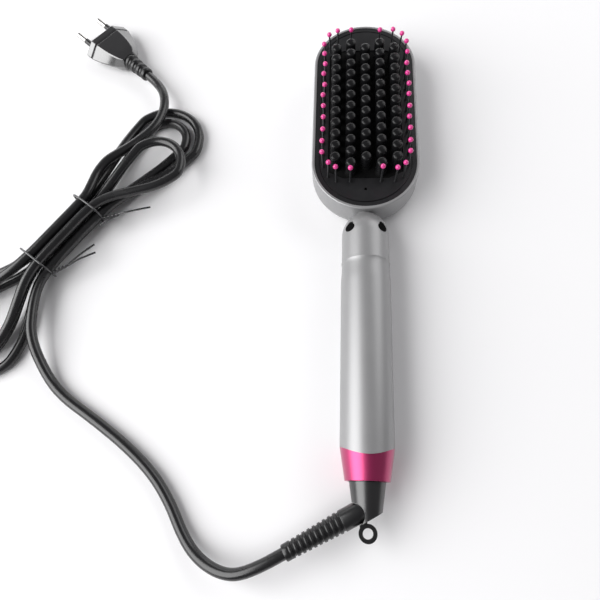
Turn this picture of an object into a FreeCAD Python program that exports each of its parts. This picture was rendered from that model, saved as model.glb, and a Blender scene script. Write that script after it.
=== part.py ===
import FreeCAD, Part
import math
import os
import Sketcher

# Heated styling brush lying on its back, bristles up. Millimetres, +Z up, +Y from the tail to the head.
# The origin is on the table, below the middle of the brush without its cord.
doc = FreeCAD.newDocument("styling_brush")
sheet = doc.addObject("Spreadsheet::Sheet", "sizes")


class Size:
    """A length that knows its number and the expression that gives it."""

    def __init__(self, number, text):
        self.number = number
        self.text = text

    def __add__(self, other):
        return joined(self, "+", other, self.number + number_of(other))

    def __radd__(self, other):
        return joined(other, "+", self, number_of(other) + self.number)

    def __sub__(self, other):
        return joined(self, "-", other, self.number - number_of(other))

    def __rsub__(self, other):
        return joined(other, "-", self, number_of(other) - self.number)

    def __mul__(self, other):
        return joined(self, "*", other, self.number * number_of(other))

    def __rmul__(self, other):
        return joined(other, "*", self, number_of(other) * self.number)

    def __truediv__(self, other):
        return joined(self, "/", other, self.number / number_of(other))

    def __neg__(self):
        return Size(-self.number, "(-1 * " + self.text + ")")

    def __float__(self):
        return float(self.number)


def number_of(value):
    return value.number if isinstance(value, Size) else float(value)


def text_of(value):
    return value.text if isinstance(value, Size) else repr(float(value))


def joined(left, sign, right, number):
    return Size(number, "(" + text_of(left) + " " + sign + " " + text_of(right) + ")")


def root(value):
    return Size(math.sqrt(value.number), "sqrt(" + value.text + ")")


row = 0


def size(alias, number):
    """Writes one driving dimension to the sheet and returns it."""
    global row
    row += 1
    sheet.set("A" + str(row), alias)
    sheet.set("B" + str(row), str(number))
    sheet.setAlias("B" + str(row), alias)
    return Size(float(number), "sizes." + alias)


# Clearances
fit_gap = size("fit_gap", 0.1)
seat_gap = size("seat_gap", 0.2)
run_gap = size("run_gap", 0.08)
overrun = size("overrun", 2)

# Head
shell_length = size("shell_length", 138.8)
shell_width = size("shell_width", 64.5)
shell_height = size("shell_height", 23)
shell_wall = size("shell_wall", 1.7)
shell_ledge = size("shell_ledge", 1.5)
shell_floor = size("shell_floor", 2.2)
back_round = size("back_round", 9)
rim_round = size("rim_round", 0.8)
plate_drop = size("plate_drop", 0.3)
plate_thickness = size("plate_thickness", 2.4)
lip_inset = size("lip_inset", 2.6)
lip_width = size("lip_width", 0.7)
lip_depth = size("lip_depth", 0.7)
pilot_bore = size("pilot_bore", 1.8)
pilot_inset = size("pilot_inset", 13.4)
pilot_offset = shell_length / 2 - pilot_inset

# Heated panel and its nubs
tooth_pitch = size("tooth_pitch", 8.12)
column_pitch = size("column_pitch", 9)
panel_end_margin = size("panel_end_margin", 20.8)
panel_length = shell_length - panel_end_margin * 2
tooth_end_margin = size("tooth_end_margin", 3.94)
panel_width = size("panel_width", 44.8)
panel_corner_width = size("panel_corner_width", 9)
panel_corner_length = size("panel_corner_length", 4.6)
panel_sink = size("panel_sink", 0.5)
flange_width = size("flange_width", 1.6)
flange_thickness = size("flange_thickness", 1.2)
nub_width = size("nub_width", 6.4)
nub_height = size("nub_height", 12.6)
nub_dome = size("nub_dome", 2.1)
post_width = size("post_width", 6)
post_inset = size("post_inset", 5.6)
post_offset = panel_length / 2 - post_inset

# Bristles
bristle_height = size("bristle_height", 16.2)
bristle_width = size("bristle_width", 1.3)
bristle_ball = size("bristle_ball", 3)
bristle_column = size("bristle_column", 25.3)
bristle_end_inner = size("bristle_end_inner", 9)
bristle_end_middle = size("bristle_end_middle", 17.3)
bristle_end_outer = size("bristle_end_outer", 22.2)
bristle_end_gap = size("bristle_end_gap", 2.3)
bristle_end_row = panel_length / 2 + bristle_end_gap
bristle_end_step = size("bristle_end_step", 3.2)

# Heater under the panel
heater_inset = size("heater_inset", 13.6)
heater_length = panel_length - heater_inset * 2
heater_width = size("heater_width", 16)
heater_thickness = size("heater_thickness", 1.6)
mica_thickness = size("mica_thickness", 0.6)
mica_margin = size("mica_margin", 2)
clamp_inset = size("clamp_inset", 0.6)
clamp_length = panel_length - clamp_inset * 2
clamp_width = size("clamp_width", 22)
clamp_thickness = size("clamp_thickness", 0.8)
screw_bore = size("screw_bore", 2.4)
screw_head = size("screw_head", 4.4)
screw_head_height = size("screw_head_height", 1.5)
screw_length = size("screw_length", 3.4)
fuse_width = size("fuse_width", 4)
fuse_length = size("fuse_length", 11)
sensor_width = size("sensor_width", 2.4)
sensor_length = size("sensor_length", 5)
sensor_offset = size("sensor_offset", 13)
lead_width = size("lead_width", 1.4)
lead_spread = size("lead_spread", 2.6)

# Neck
neck_length = size("neck_length", 31.3)
neck_width = size("neck_width", 27.2)
neck_wall = size("neck_wall", 2.7)
dome_length = size("dome_length", 14.2)
dome_radius = size("dome_radius", 15.6)
spigot_width = size("spigot_width", 10.8)
spigot_bore = size("spigot_bore", 7.2)
spigot_reach = size("spigot_reach", 7)
tenon_length = size("tenon_length", 13)
port_width = size("port_width", 4.7)
port_bore = size("port_bore", 3.7)
port_depth = size("port_depth", 3.6)
port_recess = size("port_recess", 1.2)
port_setback = size("port_setback", 11)
needle_width = size("needle_width", 0.9)
needle_length = size("needle_length", 2.2)

# Handle
handle_width = size("handle_width", 28)
handle_wall = size("handle_wall", 1.6)
sleeve_length = size("sleeve_length", 102.05)
sleeve_chamfer = size("sleeve_chamfer", 0.4)
saddle_drop = size("saddle_drop", 4)
collar_length = size("collar_length", 16.25)
collar_end_width = size("collar_end_width", 22.9)
collar_wall = size("collar_wall", 1.6)
collar_tenon = size("collar_tenon", 9)

# Control panel on the back of the handle
control_width = size("control_width", 11)
control_length = size("control_length", 58)
control_recess = size("control_recess", 1.3)
control_flange_width = size("control_flange_width", 14)
control_flange_z = size("control_flange_z", 3.9)
control_flange_thickness = size("control_flange_thickness", 1.2)
control_offset = size("control_offset", 49)
power_width = size("power_width", 6.6)
step_width = size("step_width", 5.4)
button_pitch = size("button_pitch", 11)
button_proud = size("button_proud", 0.6)
button_flange = size("button_flange", 0.7)
button_flange_height = size("button_flange_height", 0.8)
window_length = size("window_length", 13)
window_width = size("window_width", 7.4)
window_offset = size("window_offset", 18)

# Electronics
board_width = size("board_width", 16)
board_length = size("board_length", 78)
board_thickness = size("board_thickness", 1.5)
board_z = size("board_z", 8.7)
switch_width = size("switch_width", 5)
switch_height = size("switch_height", 1.5)
display_height = size("display_height", 2.8)
tray_gap = size("tray_gap", 1.8)
tray_thickness = size("tray_thickness", 1.4)
power_board_length = size("power_board_length", 52)
capacitor_width = size("capacitor_width", 7)
capacitor_length = size("capacitor_length", 15)
capacitor_height = size("capacitor_height", 6.4)
relay_width = size("relay_width", 8)
relay_length = size("relay_length", 12)
relay_height = size("relay_height", 7)
ion_width = size("ion_width", 13)
ion_length = size("ion_length", 20)
ion_height = size("ion_height", 7)

# Swivel end
bush_length = size("bush_length", 11)
journal_width = size("journal_width", 11)
clip_width = size("clip_width", 15)
clip_thickness = size("clip_thickness", 0.9)
ring_core = size("ring_core", 7)
slip_ring_width = size("slip_ring_width", 2)
slip_ring_pitch = size("slip_ring_pitch", 3.4)
slip_ring_diameter = size("slip_ring_diameter", 9.6)
wiper_thickness = size("wiper_thickness", 0.4)
wiper_length = size("wiper_length", 13)
elbow_gap = size("elbow_gap", 0.3)
elbow_width = size("elbow_width", 18.5)
elbow_end_width = size("elbow_end_width", 12.6)
elbow_length = size("elbow_length", 21)
heel_side = size("heel_side", 6.7)
heel_drop = size("heel_drop", 14.4)
exit_side = size("exit_side", 6.1)
exit_drop = size("exit_drop", 15.2)
exit_angle = 29.0
loop_offset = size("loop_offset", 23.9)
loop_width = size("loop_width", 9)
loop_bore = size("loop_bore", 5.1)
loop_thickness = size("loop_thickness", 3.2)
loop_tab_width = size("loop_tab_width", 3.6)
loop_tab_shift = size("loop_tab_shift", 2.1)

# Strain relief and cord
cord_width = size("cord_width", 6)
relief_length = size("relief_length", 39)
relief_smooth = size("relief_smooth", 7.4)
relief_root_width = size("relief_root_width", 10.6)
relief_end_width = size("relief_end_width", 8.4)
relief_groove = size("relief_groove", 0.75)
relief_collar = size("relief_collar", 3)
relief_ribs = 10

# Plug
plug_width = size("plug_width", 35)
plug_flat = size("plug_flat", 17.5)
plug_height = size("plug_height", 14)
plug_slab = size("plug_slab", 5)
plug_groove = size("plug_groove", 1.3)
plug_length = size("plug_length", 29.7)
plug_tail_width = size("plug_tail_width", 13)
plug_tip_width = size("plug_tip_width", 9)
plug_tail_height = size("plug_tail_height", 11)
plug_relief_length = size("plug_relief_length", 18.8)
plug_lift = size("plug_lift", 0.2)
pin_pitch = size("pin_pitch", 18.2)
pin_width = size("pin_width", 4)
pin_length = size("pin_length", 19)
sleeve_reach = size("sleeve_reach", 10)

# Hank of spare cord, in its own directions: along the hank, across it and up
hank_x = size("hank_x", -184.2)
hank_y = size("hank_y", 8.5)
hank_pitch = size("hank_pitch", 7.2)
hank_layer = size("hank_layer", 6.1)
waist_length = size("waist_length", 46)
floor_gap = size("floor_gap", 0.1)
upper_reach = size("upper_reach", 68)
upper_radius = size("upper_radius", 23)
upper_inset = size("upper_inset", 8.7)
lower_reach = size("lower_reach", 50)
lower_radius = size("lower_radius", 31)
lower_shift = size("lower_shift", 4)
front_reach = size("front_reach", 46.5)
front_radius = size("front_radius", 16.5)
front_height = size("front_height", 16.2)
last_radius = size("last_radius", 18)
last_height = size("last_height", 9.9)
entry_radius = size("entry_radius", 45)
entry_end = size("entry_end", 15)
tail_run = size("tail_run", 26)
tail_side = size("tail_side", 11)
hank_angle = 55.1
entry_turn = 42.0
tie_wire = size("tie_wire", 1.2)
tie_twist = size("tie_twist", 2.2)
tie_twist_length = size("tie_twist_length", 10)
tie_tail_length = size("tie_tail_length", 20)

dome_setback = size("dome_setback", 14)
port_web = size("port_web", 0.9)
lower_inset = size("lower_inset", 13)
collar_tenon_wall = size("collar_tenon_wall", 1.2)
bush_setback = size("bush_setback", 1)
tray_setback = size("tray_setback", 3)
heat_up_offset = size("heat_up_offset", 3)
power_board_width = size("power_board_width", 14)
power_board_setback = size("power_board_setback", 10)
part_spacing = size("part_spacing", 4)
contact_block_length = size("contact_block_length", 6)
contact_block_width = size("contact_block_width", 12)
wiper_width = size("wiper_width", 3)
wiper_spread = size("wiper_spread", 5)
panel_end_gap = size("panel_end_gap", 2)
relief_pocket = size("relief_pocket", 11.8)
relief_pocket_shift = size("relief_pocket_shift", 1.7)
doc.recompute()

# Places along the brush, from the tail loop to the top of the head
length = shell_length + neck_length + sleeve_length + collar_length + loop_offset + loop_width / 2
head_top = length / 2
head_mid = head_top - shell_length / 2
neck_front = head_top - shell_length
crease = neck_front - neck_length
sleeve_end = crease - sleeve_length
collar_end = sleeve_end - collar_length
loop_mid = collar_end - loop_offset
control_mid = crease - control_offset

# Heights, with the handle's axis one handle radius above the table
axis = handle_width / 2
plate_top = shell_height - plate_drop
plate_bottom = plate_top - plate_thickness
panel_bottom = plate_bottom - flange_thickness
panel_top = plate_top - panel_sink
mica_bottom = panel_bottom - heater_thickness - mica_thickness
clamp_bottom = mica_bottom - clamp_thickness
tray_z = board_z + board_thickness
tray_top = tray_z + tray_thickness
power_top = tray_top + board_thickness

subparts = []


def keep(thing, label):
    """Marks a document object as one piece of the brush."""
    thing.Label = label
    subparts.append(thing)
    return thing


def bind(thing, **values):
    """Ties properties to sizes; a double underscore in a name stands for a dot."""
    for name, value in values.items():
        thing.setExpression(name.replace("__", "."), text_of(value))


def move(thing, x, y, z):
    bind(thing, Placement__Base__x=x, Placement__Base__y=y, Placement__Base__z=z)
    return thing


def turn(thing, direction, degrees):
    thing.Placement = FreeCAD.Placement(FreeCAD.Vector(), FreeCAD.Rotation(direction, degrees))
    return thing


X_AXIS = FreeCAD.Vector(1, 0, 0)
Y_AXIS = FreeCAD.Vector(0, 1, 0)
Z_AXIS = FreeCAD.Vector(0, 0, 1)


def block(name, width, depth, height, x, y, z):
    """A box centred on x and y that stands on z."""
    thing = doc.addObject("Part::Box", name)
    bind(thing, Length=width, Width=depth, Height=height)
    return move(thing, x - width / 2, y - depth / 2, z)


def rod(name, width, height, x, y, z):
    """An upright cylinder whose foot is at x, y, z."""
    thing = doc.addObject("Part::Cylinder", name)
    bind(thing, Radius=width / 2, Height=height)
    return move(thing, x, y, z)


def rod_along(name, width, height, x, y, z):
    """A cylinder that runs from x, y, z towards +Y."""
    thing = turn(doc.addObject("Part::Cylinder", name), X_AXIS, -90)
    bind(thing, Radius=width / 2, Height=height)
    return move(thing, x, y, z)


def cut(name, base, tool):
    thing = doc.addObject("Part::Cut", name)
    thing.Base = base
    thing.Tool = tool
    return thing


def fuse(name, things):
    thing = doc.addObject("Part::MultiFuse", name)
    thing.Shapes = things
    return thing


def common(name, things):
    thing = doc.addObject("Part::MultiCommon", name)
    thing.Shapes = things
    return thing


def group(name, things):
    thing = doc.addObject("Part::Compound", name)
    thing.Links = things
    return thing


def formed(name, shape):
    thing = doc.addObject("Part::Feature", name)
    thing.Shape = shape
    return thing


def pin_point(sketch, edge, end, x, y):
    """Fixes one end of a sketch edge at x, y from the sketch's origin."""
    for kind, value, origin_axis in (("DistanceX", x, -2), ("DistanceY", y, -1)):
        if isinstance(value, Size):
            index = sketch.addConstraint(Sketcher.Constraint(kind, -1, 1, edge, end, value.number))
            sketch.setExpression("Constraints[" + str(index) + "]", value.text)
        else:
            sketch.addConstraint(Sketcher.Constraint("PointOnObject", edge, end, origin_axis))


def outline(sketch, corners, bows):
    """Draws a closed outline; bows gives the centre of each side that is an arc, and its sense."""
    count = len(corners)
    starts = []
    for index in range(count):
        here = FreeCAD.Vector(number_of(corners[index][0]), number_of(corners[index][1]))
        after = corners[(index + 1) % count]
        there = FreeCAD.Vector(number_of(after[0]), number_of(after[1]))
        if index in bows:
            middle_x, middle_y, sense = bows[index]
            middle = FreeCAD.Vector(number_of(middle_x), number_of(middle_y))
            first, last = (here, there) if sense > 0 else (there, here)
            angles = [math.atan2(p.y - middle.y, p.x - middle.x) for p in (first, last)]
            if angles[1] <= angles[0]:
                angles[1] += 2 * math.pi
            circle = Part.Circle(middle, Z_AXIS, (here - middle).Length)
            sketch.addGeometry(Part.ArcOfCircle(circle, angles[0], angles[1]), False)
            starts.append(1 if sense > 0 else 2)
        else:
            sketch.addGeometry(Part.LineSegment(here, there), False)
            starts.append(1)
    for index in range(count):
        after = (index + 1) % count
        end = 3 - starts[index]
        sketch.addConstraint(Sketcher.Constraint("Coincident", index, end, after, starts[after]))
    for index in range(count):
        pin_point(sketch, index, starts[index], corners[index][0], corners[index][1])
        if index in bows:
            height = bows[index][1]
            number = sketch.addConstraint(Sketcher.Constraint("DistanceY", -1, 1, index, 3, height.number))
            sketch.setExpression("Constraints[" + str(number) + "]", height.text)


def sketch_in(body, role):
    sketch = body.newObject("Sketcher::SketchObject", body.Name + "_profile")
    plane = next(item for item in body.Origin.OriginFeatures if item.Role == role)
    sketch.AttachmentSupport = [(plane, "")]
    sketch.MapMode = "FlatFace"
    return sketch


def prism(name, corners, bows, foot, height):
    """A body padded upwards from the height foot."""
    body = doc.addObject("PartDesign::Body", name)
    sketch = sketch_in(body, "XY_Plane")
    outline(sketch, corners, bows)
    pad = body.newObject("PartDesign::Pad", name + "_pad")
    pad.Profile = sketch
    bind(pad, Length=height)
    return move(body, 0, 0, foot)


def turned(name, corners, bows, height):
    """A body turned round an axis along Y that lies at the given height; corners are radius and y."""
    body = doc.addObject("PartDesign::Body", name)
    sketch = sketch_in(body, "XY_Plane")
    outline(sketch, corners, bows)
    spun = body.newObject("PartDesign::Revolution", name + "_turned")
    spun.Profile = sketch
    spun.ReferenceAxis = (sketch, ["V_Axis"])
    spun.Angle = 360
    return move(body, 0, 0, height)


def stadium(half_width, half_length):
    """Corners and end arcs of a long head outline round the middle of the head."""
    straight = half_length - half_width
    low = head_mid - straight
    high = head_mid + straight
    corners = [(-half_width, low), (-half_width, high), (half_width, high), (half_width, low)]
    return corners, {1: (0, high, -1), 3: (0, low, -1)}


def clipped(half_width, half_length):
    """Corners of the heated panel, a rectangle with its corners cut off."""
    side = half_length - panel_corner_length
    end = half_width - panel_corner_width
    corners = []
    for across, along in ((1, 1), (-1, 1), (-1, -1), (1, -1)):
        pair = [(across * half_width, head_mid + along * side),
                (across * end, head_mid + along * half_length)]
        corners += pair if across == along else pair[::-1]
    return corners


def edges_at(shape, height):
    """Names of the edges that lie flat at a height of the shape's own frame."""
    names = []
    for number, edge in enumerate(shape.Edges, 1):
        box = edge.BoundBox
        if abs(box.ZMin - height) < 1e-6 and abs(box.ZMax - height) < 1e-6:
            names.append("Edge" + str(number))
    return names


def rounded(body, height, radius):
    """Rounds every edge of a padded body that lies flat at a height."""
    doc.recompute()
    tip = body.Tip
    fillet = body.newObject("PartDesign::Fillet", body.Name + "_round")
    fillet.Base = (tip, edges_at(tip.Shape, height))
    bind(fillet, Radius=radius)
    return body


# Head: a long shell with a rounded back, a ledge for the face plate and a hole for the neck
half_width = shell_width / 2
half_length = shell_length / 2
shell_outer = prism("shell_outer", *stadium(half_width, half_length), 0, shell_height)
rounded(shell_outer, 0, back_round)
rounded(shell_outer, shell_height.number, rim_round)
seat_half = half_width - shell_wall
seat_space = prism("seat_space", *stadium(seat_half, half_length - shell_wall), plate_bottom,
                   plate_thickness + overrun)
hollow_wall = shell_wall + shell_ledge
hollow_space = prism("hollow_space", *stadium(half_width - hollow_wall, half_length - hollow_wall),
                     shell_floor, shell_height)
rounded(hollow_space, 0, back_round - hollow_wall)
spigot_hole = rod_along("spigot_hole", spigot_width + fit_gap * 2, hollow_wall + overrun * 2,
                        0, neck_front - overrun, axis)
keep(cut("head_shell_cut", shell_outer, fuse("head_spaces", [seat_space, hollow_space, spigot_hole])),
     "head_shell")

# Face plate with a fine lip groove, the panel's opening and a pilot hole at the low end
plate_half = seat_half - fit_gap
plate_half_length = half_length - shell_wall - fit_gap
plate_blank = prism("plate_blank", *stadium(plate_half, plate_half_length), plate_bottom, plate_thickness)
groove_outer = prism("groove_outer", *stadium(plate_half - lip_inset, plate_half_length - lip_inset),
                     plate_top - lip_depth, lip_depth + overrun)
groove_core = lip_inset + lip_width
groove_inner = prism("groove_inner", *stadium(plate_half - groove_core, plate_half_length - groove_core),
                     plate_top - lip_depth, lip_depth + overrun)
panel_half = panel_width / 2
panel_half_length = panel_length / 2
panel_hole = prism("panel_hole", clipped(panel_half + fit_gap, panel_half_length + fit_gap), {},
                   plate_bottom - overrun, plate_thickness + overrun * 2)
pilot = rod("pilot", pilot_bore, plate_thickness + overrun * 2, 0, head_mid - pilot_offset,
            plate_bottom - overrun)
lip_groove = cut("lip_groove", groove_outer, groove_inner)
keep(cut("face_plate_cut", plate_blank, fuse("plate_spaces", [lip_groove, panel_hole, pilot])),
     "face_plate")


def ring_of(sides, radius, x, y, z):
    """A closed wire with the given number of sides, round an upright axis."""
    points = []
    for number in range(sides + 1):
        angle = 2 * math.pi * (number % sides) / sides
        points.append(FreeCAD.Vector(x + radius * math.cos(angle), y + radius * math.sin(angle), z))
    return Part.makePolygon(points)


def stacked(sides, radius, steps, x, y):
    """A faceted upright form with flat faces through (height, radius share) steps."""
    rings = [ring_of(sides, radius * share, x, y, z) for z, share in steps]
    faces = [Part.Face(rings[0]), Part.Face(rings[-1])]
    for low, high in zip(rings, rings[1:]):
        corners = [[vertex.Point for vertex in ring.OrderedVertexes] for ring in (low, high)]
        for number in range(sides):
            after = (number + 1) % sides
            quad = [corners[0][number], corners[0][after], corners[1][after], corners[1][number],
                    corners[0][number]]
            faces.append(Part.Face(Part.makePolygon(quad)))
    shell = Part.makeShell(faces)
    shell.sewShape()
    solid = Part.makeSolid(shell)
    if solid.Volume < 0:
        solid.reverse()
    return solid


NUB_SIDES = 8
long_column = round(((panel_length - tooth_end_margin * 2) / tooth_pitch).number) + 1
short_column = long_column - 1
NUB_COLUMNS = ((-2, short_column), (-1, long_column), (0, short_column), (1, long_column),
               (2, short_column))
DOME_SHARES = ((1.0, 1.0), (0.3, 0.76), (0.0, 0.34))


def nub_places():
    """Heated nubs in five columns, every second column half a pitch out of step."""
    places = []
    for column, count in NUB_COLUMNS:
        for number in range(count):
            along = (number - (count - 1) / 2) * tooth_pitch.number
            places.append((column * column_pitch.number, head_mid.number + along))
    return places


def nub(x, y):
    foot = panel_top.number
    crown = foot + nub_height.number
    steps = [(foot, 1.0)]
    steps += [(crown - nub_dome.number * drop, share) for drop, share in DOME_SHARES]
    return stacked(NUB_SIDES, nub_width.number / 2, steps, x, y)


# Heated panel: a flange behind the face plate, a raised field with nubs and two screw posts
flange_reach = panel_half_length + flange_width - panel_end_gap / 2
panel_flange = prism("panel_flange", clipped(panel_half + flange_width, flange_reach), {}, panel_bottom,
                     flange_thickness)
panel_field = prism("panel_field", clipped(panel_half, panel_half_length), {}, panel_bottom,
                    panel_top - panel_bottom)
posts = [rod("post_" + end, post_width, panel_bottom - mica_bottom, 0, head_mid + side * post_offset,
             mica_bottom)
         for end, side in (("low", -1), ("high", 1))]
post_bores = [rod("post_bore_" + end, screw_bore + run_gap, screw_length + overrun, 0,
                  head_mid + side * post_offset, mica_bottom - overrun)
              for end, side in (("low", -1), ("high", 1))]
nubs = formed("nubs", Part.makeCompound([nub(x, y) for x, y in nub_places()]))
panel_body = fuse("panel_body", [panel_flange, panel_field, nubs] + posts)
keep(cut("panel_cut", panel_body, group("post_bores", post_bores)), "heater_panel")

STEM_SIDES = 6
BALL_SIDES = 6
BALL_SHARES = ((-0.92, 0.39), (-0.38, 0.92), (0.38, 0.92), (0.92, 0.39))


def bristle_places():
    """Pin bristles round the panel: a column down each side and six at each end."""
    places = []
    for side in (-1, 1):
        for number in range(short_column):
            along = (number - (short_column - 1) / 2) * tooth_pitch.number
            places.append((side * bristle_column.number, head_mid.number + along))
        for end in (-1, 1):
            reach = bristle_end_row.number
            places.append((side * bristle_end_inner.number, head_mid.number + end * reach))
            places.append((side * bristle_end_middle.number, head_mid.number + end * reach))
            outer = reach - bristle_end_step.number
            places.append((side * bristle_end_outer.number, head_mid.number + end * outer))
    return places


ball_radius = bristle_ball.number / 2
ball_mid = plate_top.number + bristle_height.number - ball_radius
stem_top = ball_mid + BALL_SHARES[0][0] * ball_radius
stem_steps = [(plate_top.number, 1.0), (stem_top, 1.0)]
ball_steps = [(ball_mid + height * ball_radius, share) for height, share in BALL_SHARES]
stems = [stacked(STEM_SIDES, bristle_width.number / 2, stem_steps, x, y) for x, y in bristle_places()]
balls = [stacked(BALL_SIDES, ball_radius, ball_steps, x, y) for x, y in bristle_places()]
keep(formed("stems", Part.makeCompound(stems)), "bristle_stems")
keep(formed("balls", Part.makeCompound(balls)), "bristle_tips")

# Heater stack screwed to the panel's posts
heater_z = panel_bottom - heater_thickness
keep(block("heater", heater_width, heater_length, heater_thickness, 0, head_mid, heater_z),
     "heater_element")
keep(block("mica", heater_width + mica_margin * 2, heater_length + mica_margin * 2, mica_thickness,
           0, head_mid, mica_bottom), "insulation_sheet")
clamp_plate = block("clamp_plate", clamp_width, clamp_length, clamp_thickness, 0, head_mid, clamp_bottom)
clamp_bores = [rod("clamp_bore_" + end, screw_bore + fit_gap * 2, clamp_thickness + overrun * 2, 0,
                   head_mid + side * post_offset, clamp_bottom - overrun)
               for end, side in (("low", -1), ("high", 1))]
keep(cut("clamp_cut", clamp_plate, group("clamp_bores", clamp_bores)), "heater_clamp")
screws = []
for end, side in (("low", -1), ("high", 1)):
    screw_y = head_mid + side * post_offset
    head = rod("screw_head_" + end, screw_head, screw_head_height, 0, screw_y,
               clamp_bottom - screw_head_height)
    shank = rod("screw_shank_" + end, screw_bore, screw_length - clamp_thickness, 0, screw_y, clamp_bottom)
    screws.append(fuse("screw_" + end, [head, shank]))
keep(group("screw_pair", screws), "clamp_screws")
keep(rod_along("fuse_can", fuse_width, fuse_length, 0, head_mid - fuse_length / 2,
               clamp_bottom - fuse_width / 2 - fit_gap), "thermal_fuse")
keep(rod_along("sensor_bead", sensor_width, sensor_length, sensor_offset, head_mid - sensor_length / 2,
               panel_bottom - sensor_width / 2 - fit_gap), "temperature_sensor")

# Neck: a domed sleeve that tucks under the head's rim, with a spigot into the shell and two outlets
neck_radius = neck_width / 2
neck_inner = neck_radius - neck_wall
tenon_radius = axis - handle_wall - fit_gap
dome_start = neck_front - dome_setback
dome_end = dome_start + dome_length
dome_tip = neck_radius - dome_radius + root(dome_radius * dome_radius - dome_length * dome_length)
bore_radius = spigot_bore / 2
neck_profile = [(neck_inner, crease - tenon_length), (tenon_radius, crease - tenon_length),
                (tenon_radius, crease),
                (neck_radius, crease), (neck_radius, dome_start), (dome_tip, dome_end),
                (bore_radius, dome_end),
                (bore_radius, neck_front - neck_wall), (neck_inner, dome_start)]
neck_turned = turned("neck_turned", neck_profile, {4: (neck_radius - dome_radius, dome_start, 1)}, axis)
neck_trimmed = cut("neck_trimmed", neck_turned, shell_outer)
spigot_start = neck_front - neck_wall
spigot_tube = cut("spigot_tube", rod_along("spigot_rod", spigot_width, neck_wall + spigot_reach, 0,
                                           spigot_start, axis),
                  rod_along("spigot_bore", spigot_bore, neck_wall + spigot_reach + overrun * 2, 0,
                            spigot_start - overrun, axis))
PORT_ANGLE = 44
port_y = neck_front - port_setback
port_foot = neck_radius - port_recess - port_depth


def radial(name, side, width, height, distance):
    """A cylinder that leans to one side of the handle's axis and starts at a distance from it."""
    thing = turn(doc.addObject("Part::Cylinder", name), Y_AXIS, side * PORT_ANGLE)
    bind(thing, Radius=width / 2, Height=height)
    across = math.sin(math.radians(side * PORT_ANGLE))
    up = math.cos(math.radians(PORT_ANGLE))
    return move(thing, across * distance, port_y, axis + up * distance)


port_holes = []
port_inserts = []
port_needles = []
for hand, side in (("left", -1), ("right", 1)):
    port_holes.append(radial("port_hole_" + hand, side, port_width, port_depth + overrun,
                             port_foot - fit_gap))
    insert = radial("port_insert_" + hand, side, port_width - fit_gap, port_depth, port_foot)
    insert_bore = radial("port_bore_" + hand, side, port_bore, port_depth, port_foot + port_web)
    port_inserts.append(cut("port_" + hand, insert, insert_bore))
    port_needles.append(radial("needle_" + hand, side, needle_width, needle_length, port_foot + port_web))
neck_whole = fuse("neck_whole", [neck_trimmed, spigot_tube])
keep(cut("neck_cut", neck_whole, group("port_holes", port_holes)), "neck_housing")
keep(group("port_pair", port_inserts), "ion_outlets")
keep(group("needle_pair", port_needles), "ion_needles")

# Handle sleeve: a tube with a saddle-shaped tail end and a long window in its back
sleeve_inner = axis - handle_wall
sleeve_tail = sleeve_end - saddle_drop
sleeve_profile = [(sleeve_inner, sleeve_tail), (axis, sleeve_tail), (axis, crease - sleeve_chamfer),
                  (axis - sleeve_chamfer, crease), (sleeve_inner, crease)]
sleeve_turned = turned("sleeve_turned", sleeve_profile, {}, axis)
saddle_radius = (axis * axis + saddle_drop * saddle_drop) / (2 * saddle_drop)


def saddle(name, radius):
    """A cylinder across the handle whose side forms the saddle end."""
    thing = turn(doc.addObject("Part::Cylinder", name), Y_AXIS, 90)
    bind(thing, Radius=radius, Height=handle_width + overrun * 2)
    return move(thing, -axis - overrun, sleeve_end - saddle_drop - saddle_radius + saddle_drop, axis)


sleeve_window = block("sleeve_window", control_width + fit_gap * 2, control_length + fit_gap * 2,
                      axis + overrun,
                      0, control_mid, -overrun)
sleeve_spaces = fuse("sleeve_spaces", [saddle("sleeve_saddle", saddle_radius), sleeve_window])
keep(cut("sleeve_cut", sleeve_turned, sleeve_spaces), "handle_sleeve")

# End collar: a tapered ring with the matching saddle edge and a tenon up into the sleeve
collar_inner = collar_end_width / 2 - collar_wall
collar_profile = [(collar_inner, collar_end), (collar_end_width / 2, collar_end), (axis, sleeve_end),
                  (collar_inner, sleeve_end)]
collar_ring = common("collar_ring", [turned("collar_turned", collar_profile, {}, axis),
                                     saddle("collar_saddle", saddle_radius - fit_gap)])
tenon_foot = sleeve_end - saddle_drop * 2
tenon_head = sleeve_end + collar_tenon
collar_tenon_profile = [(tenon_radius - collar_tenon_wall, tenon_foot), (tenon_radius, tenon_foot),
                        (tenon_radius, tenon_head), (tenon_radius - collar_tenon_wall, tenon_head)]
collar_tenon_tube = turned("collar_tenon_tube", collar_tenon_profile, {}, axis)
keep(fuse("collar_fused", [collar_ring, collar_tenon_tube]), "end_collar")

# Control panel in the window: a recessed strip with button holes and a display opening
strip = block("strip", control_width, control_length,
              control_flange_z - control_recess + control_flange_thickness,
              0, control_mid, control_recess)
strip_flange = block("strip_flange", control_flange_width, control_length + panel_end_gap,
                     control_flange_thickness,
                     0, control_mid, control_flange_z)
strip_depth = control_flange_z + control_flange_thickness + overrun * 2
window_y = control_mid + window_offset
heat_up_y = control_mid + heat_up_offset
heat_down_y = heat_up_y - button_pitch
power_y = heat_down_y - button_pitch
strip_holes = [block("display_opening", window_width, window_length, strip_depth, 0, window_y, -overrun)]
for label, width, along in (("power", power_width, power_y), ("heat_up", step_width, heat_up_y),
                            ("heat_down", step_width, heat_down_y)):
    strip_holes.append(rod(label + "_hole", width, strip_depth, 0, along, -overrun))
    cap_z = control_recess - button_proud
    flange_z = control_flange_z + control_flange_thickness + fit_gap
    cap = rod(label + "_cap", width - run_gap * 2, flange_z - cap_z + button_flange_height, 0, along, cap_z)
    flange = rod(label + "_flange", width + button_flange * 2, button_flange_height, 0, along, flange_z)
    keep(fuse(label + "_fused", [cap, flange]), label + "_button")
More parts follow.
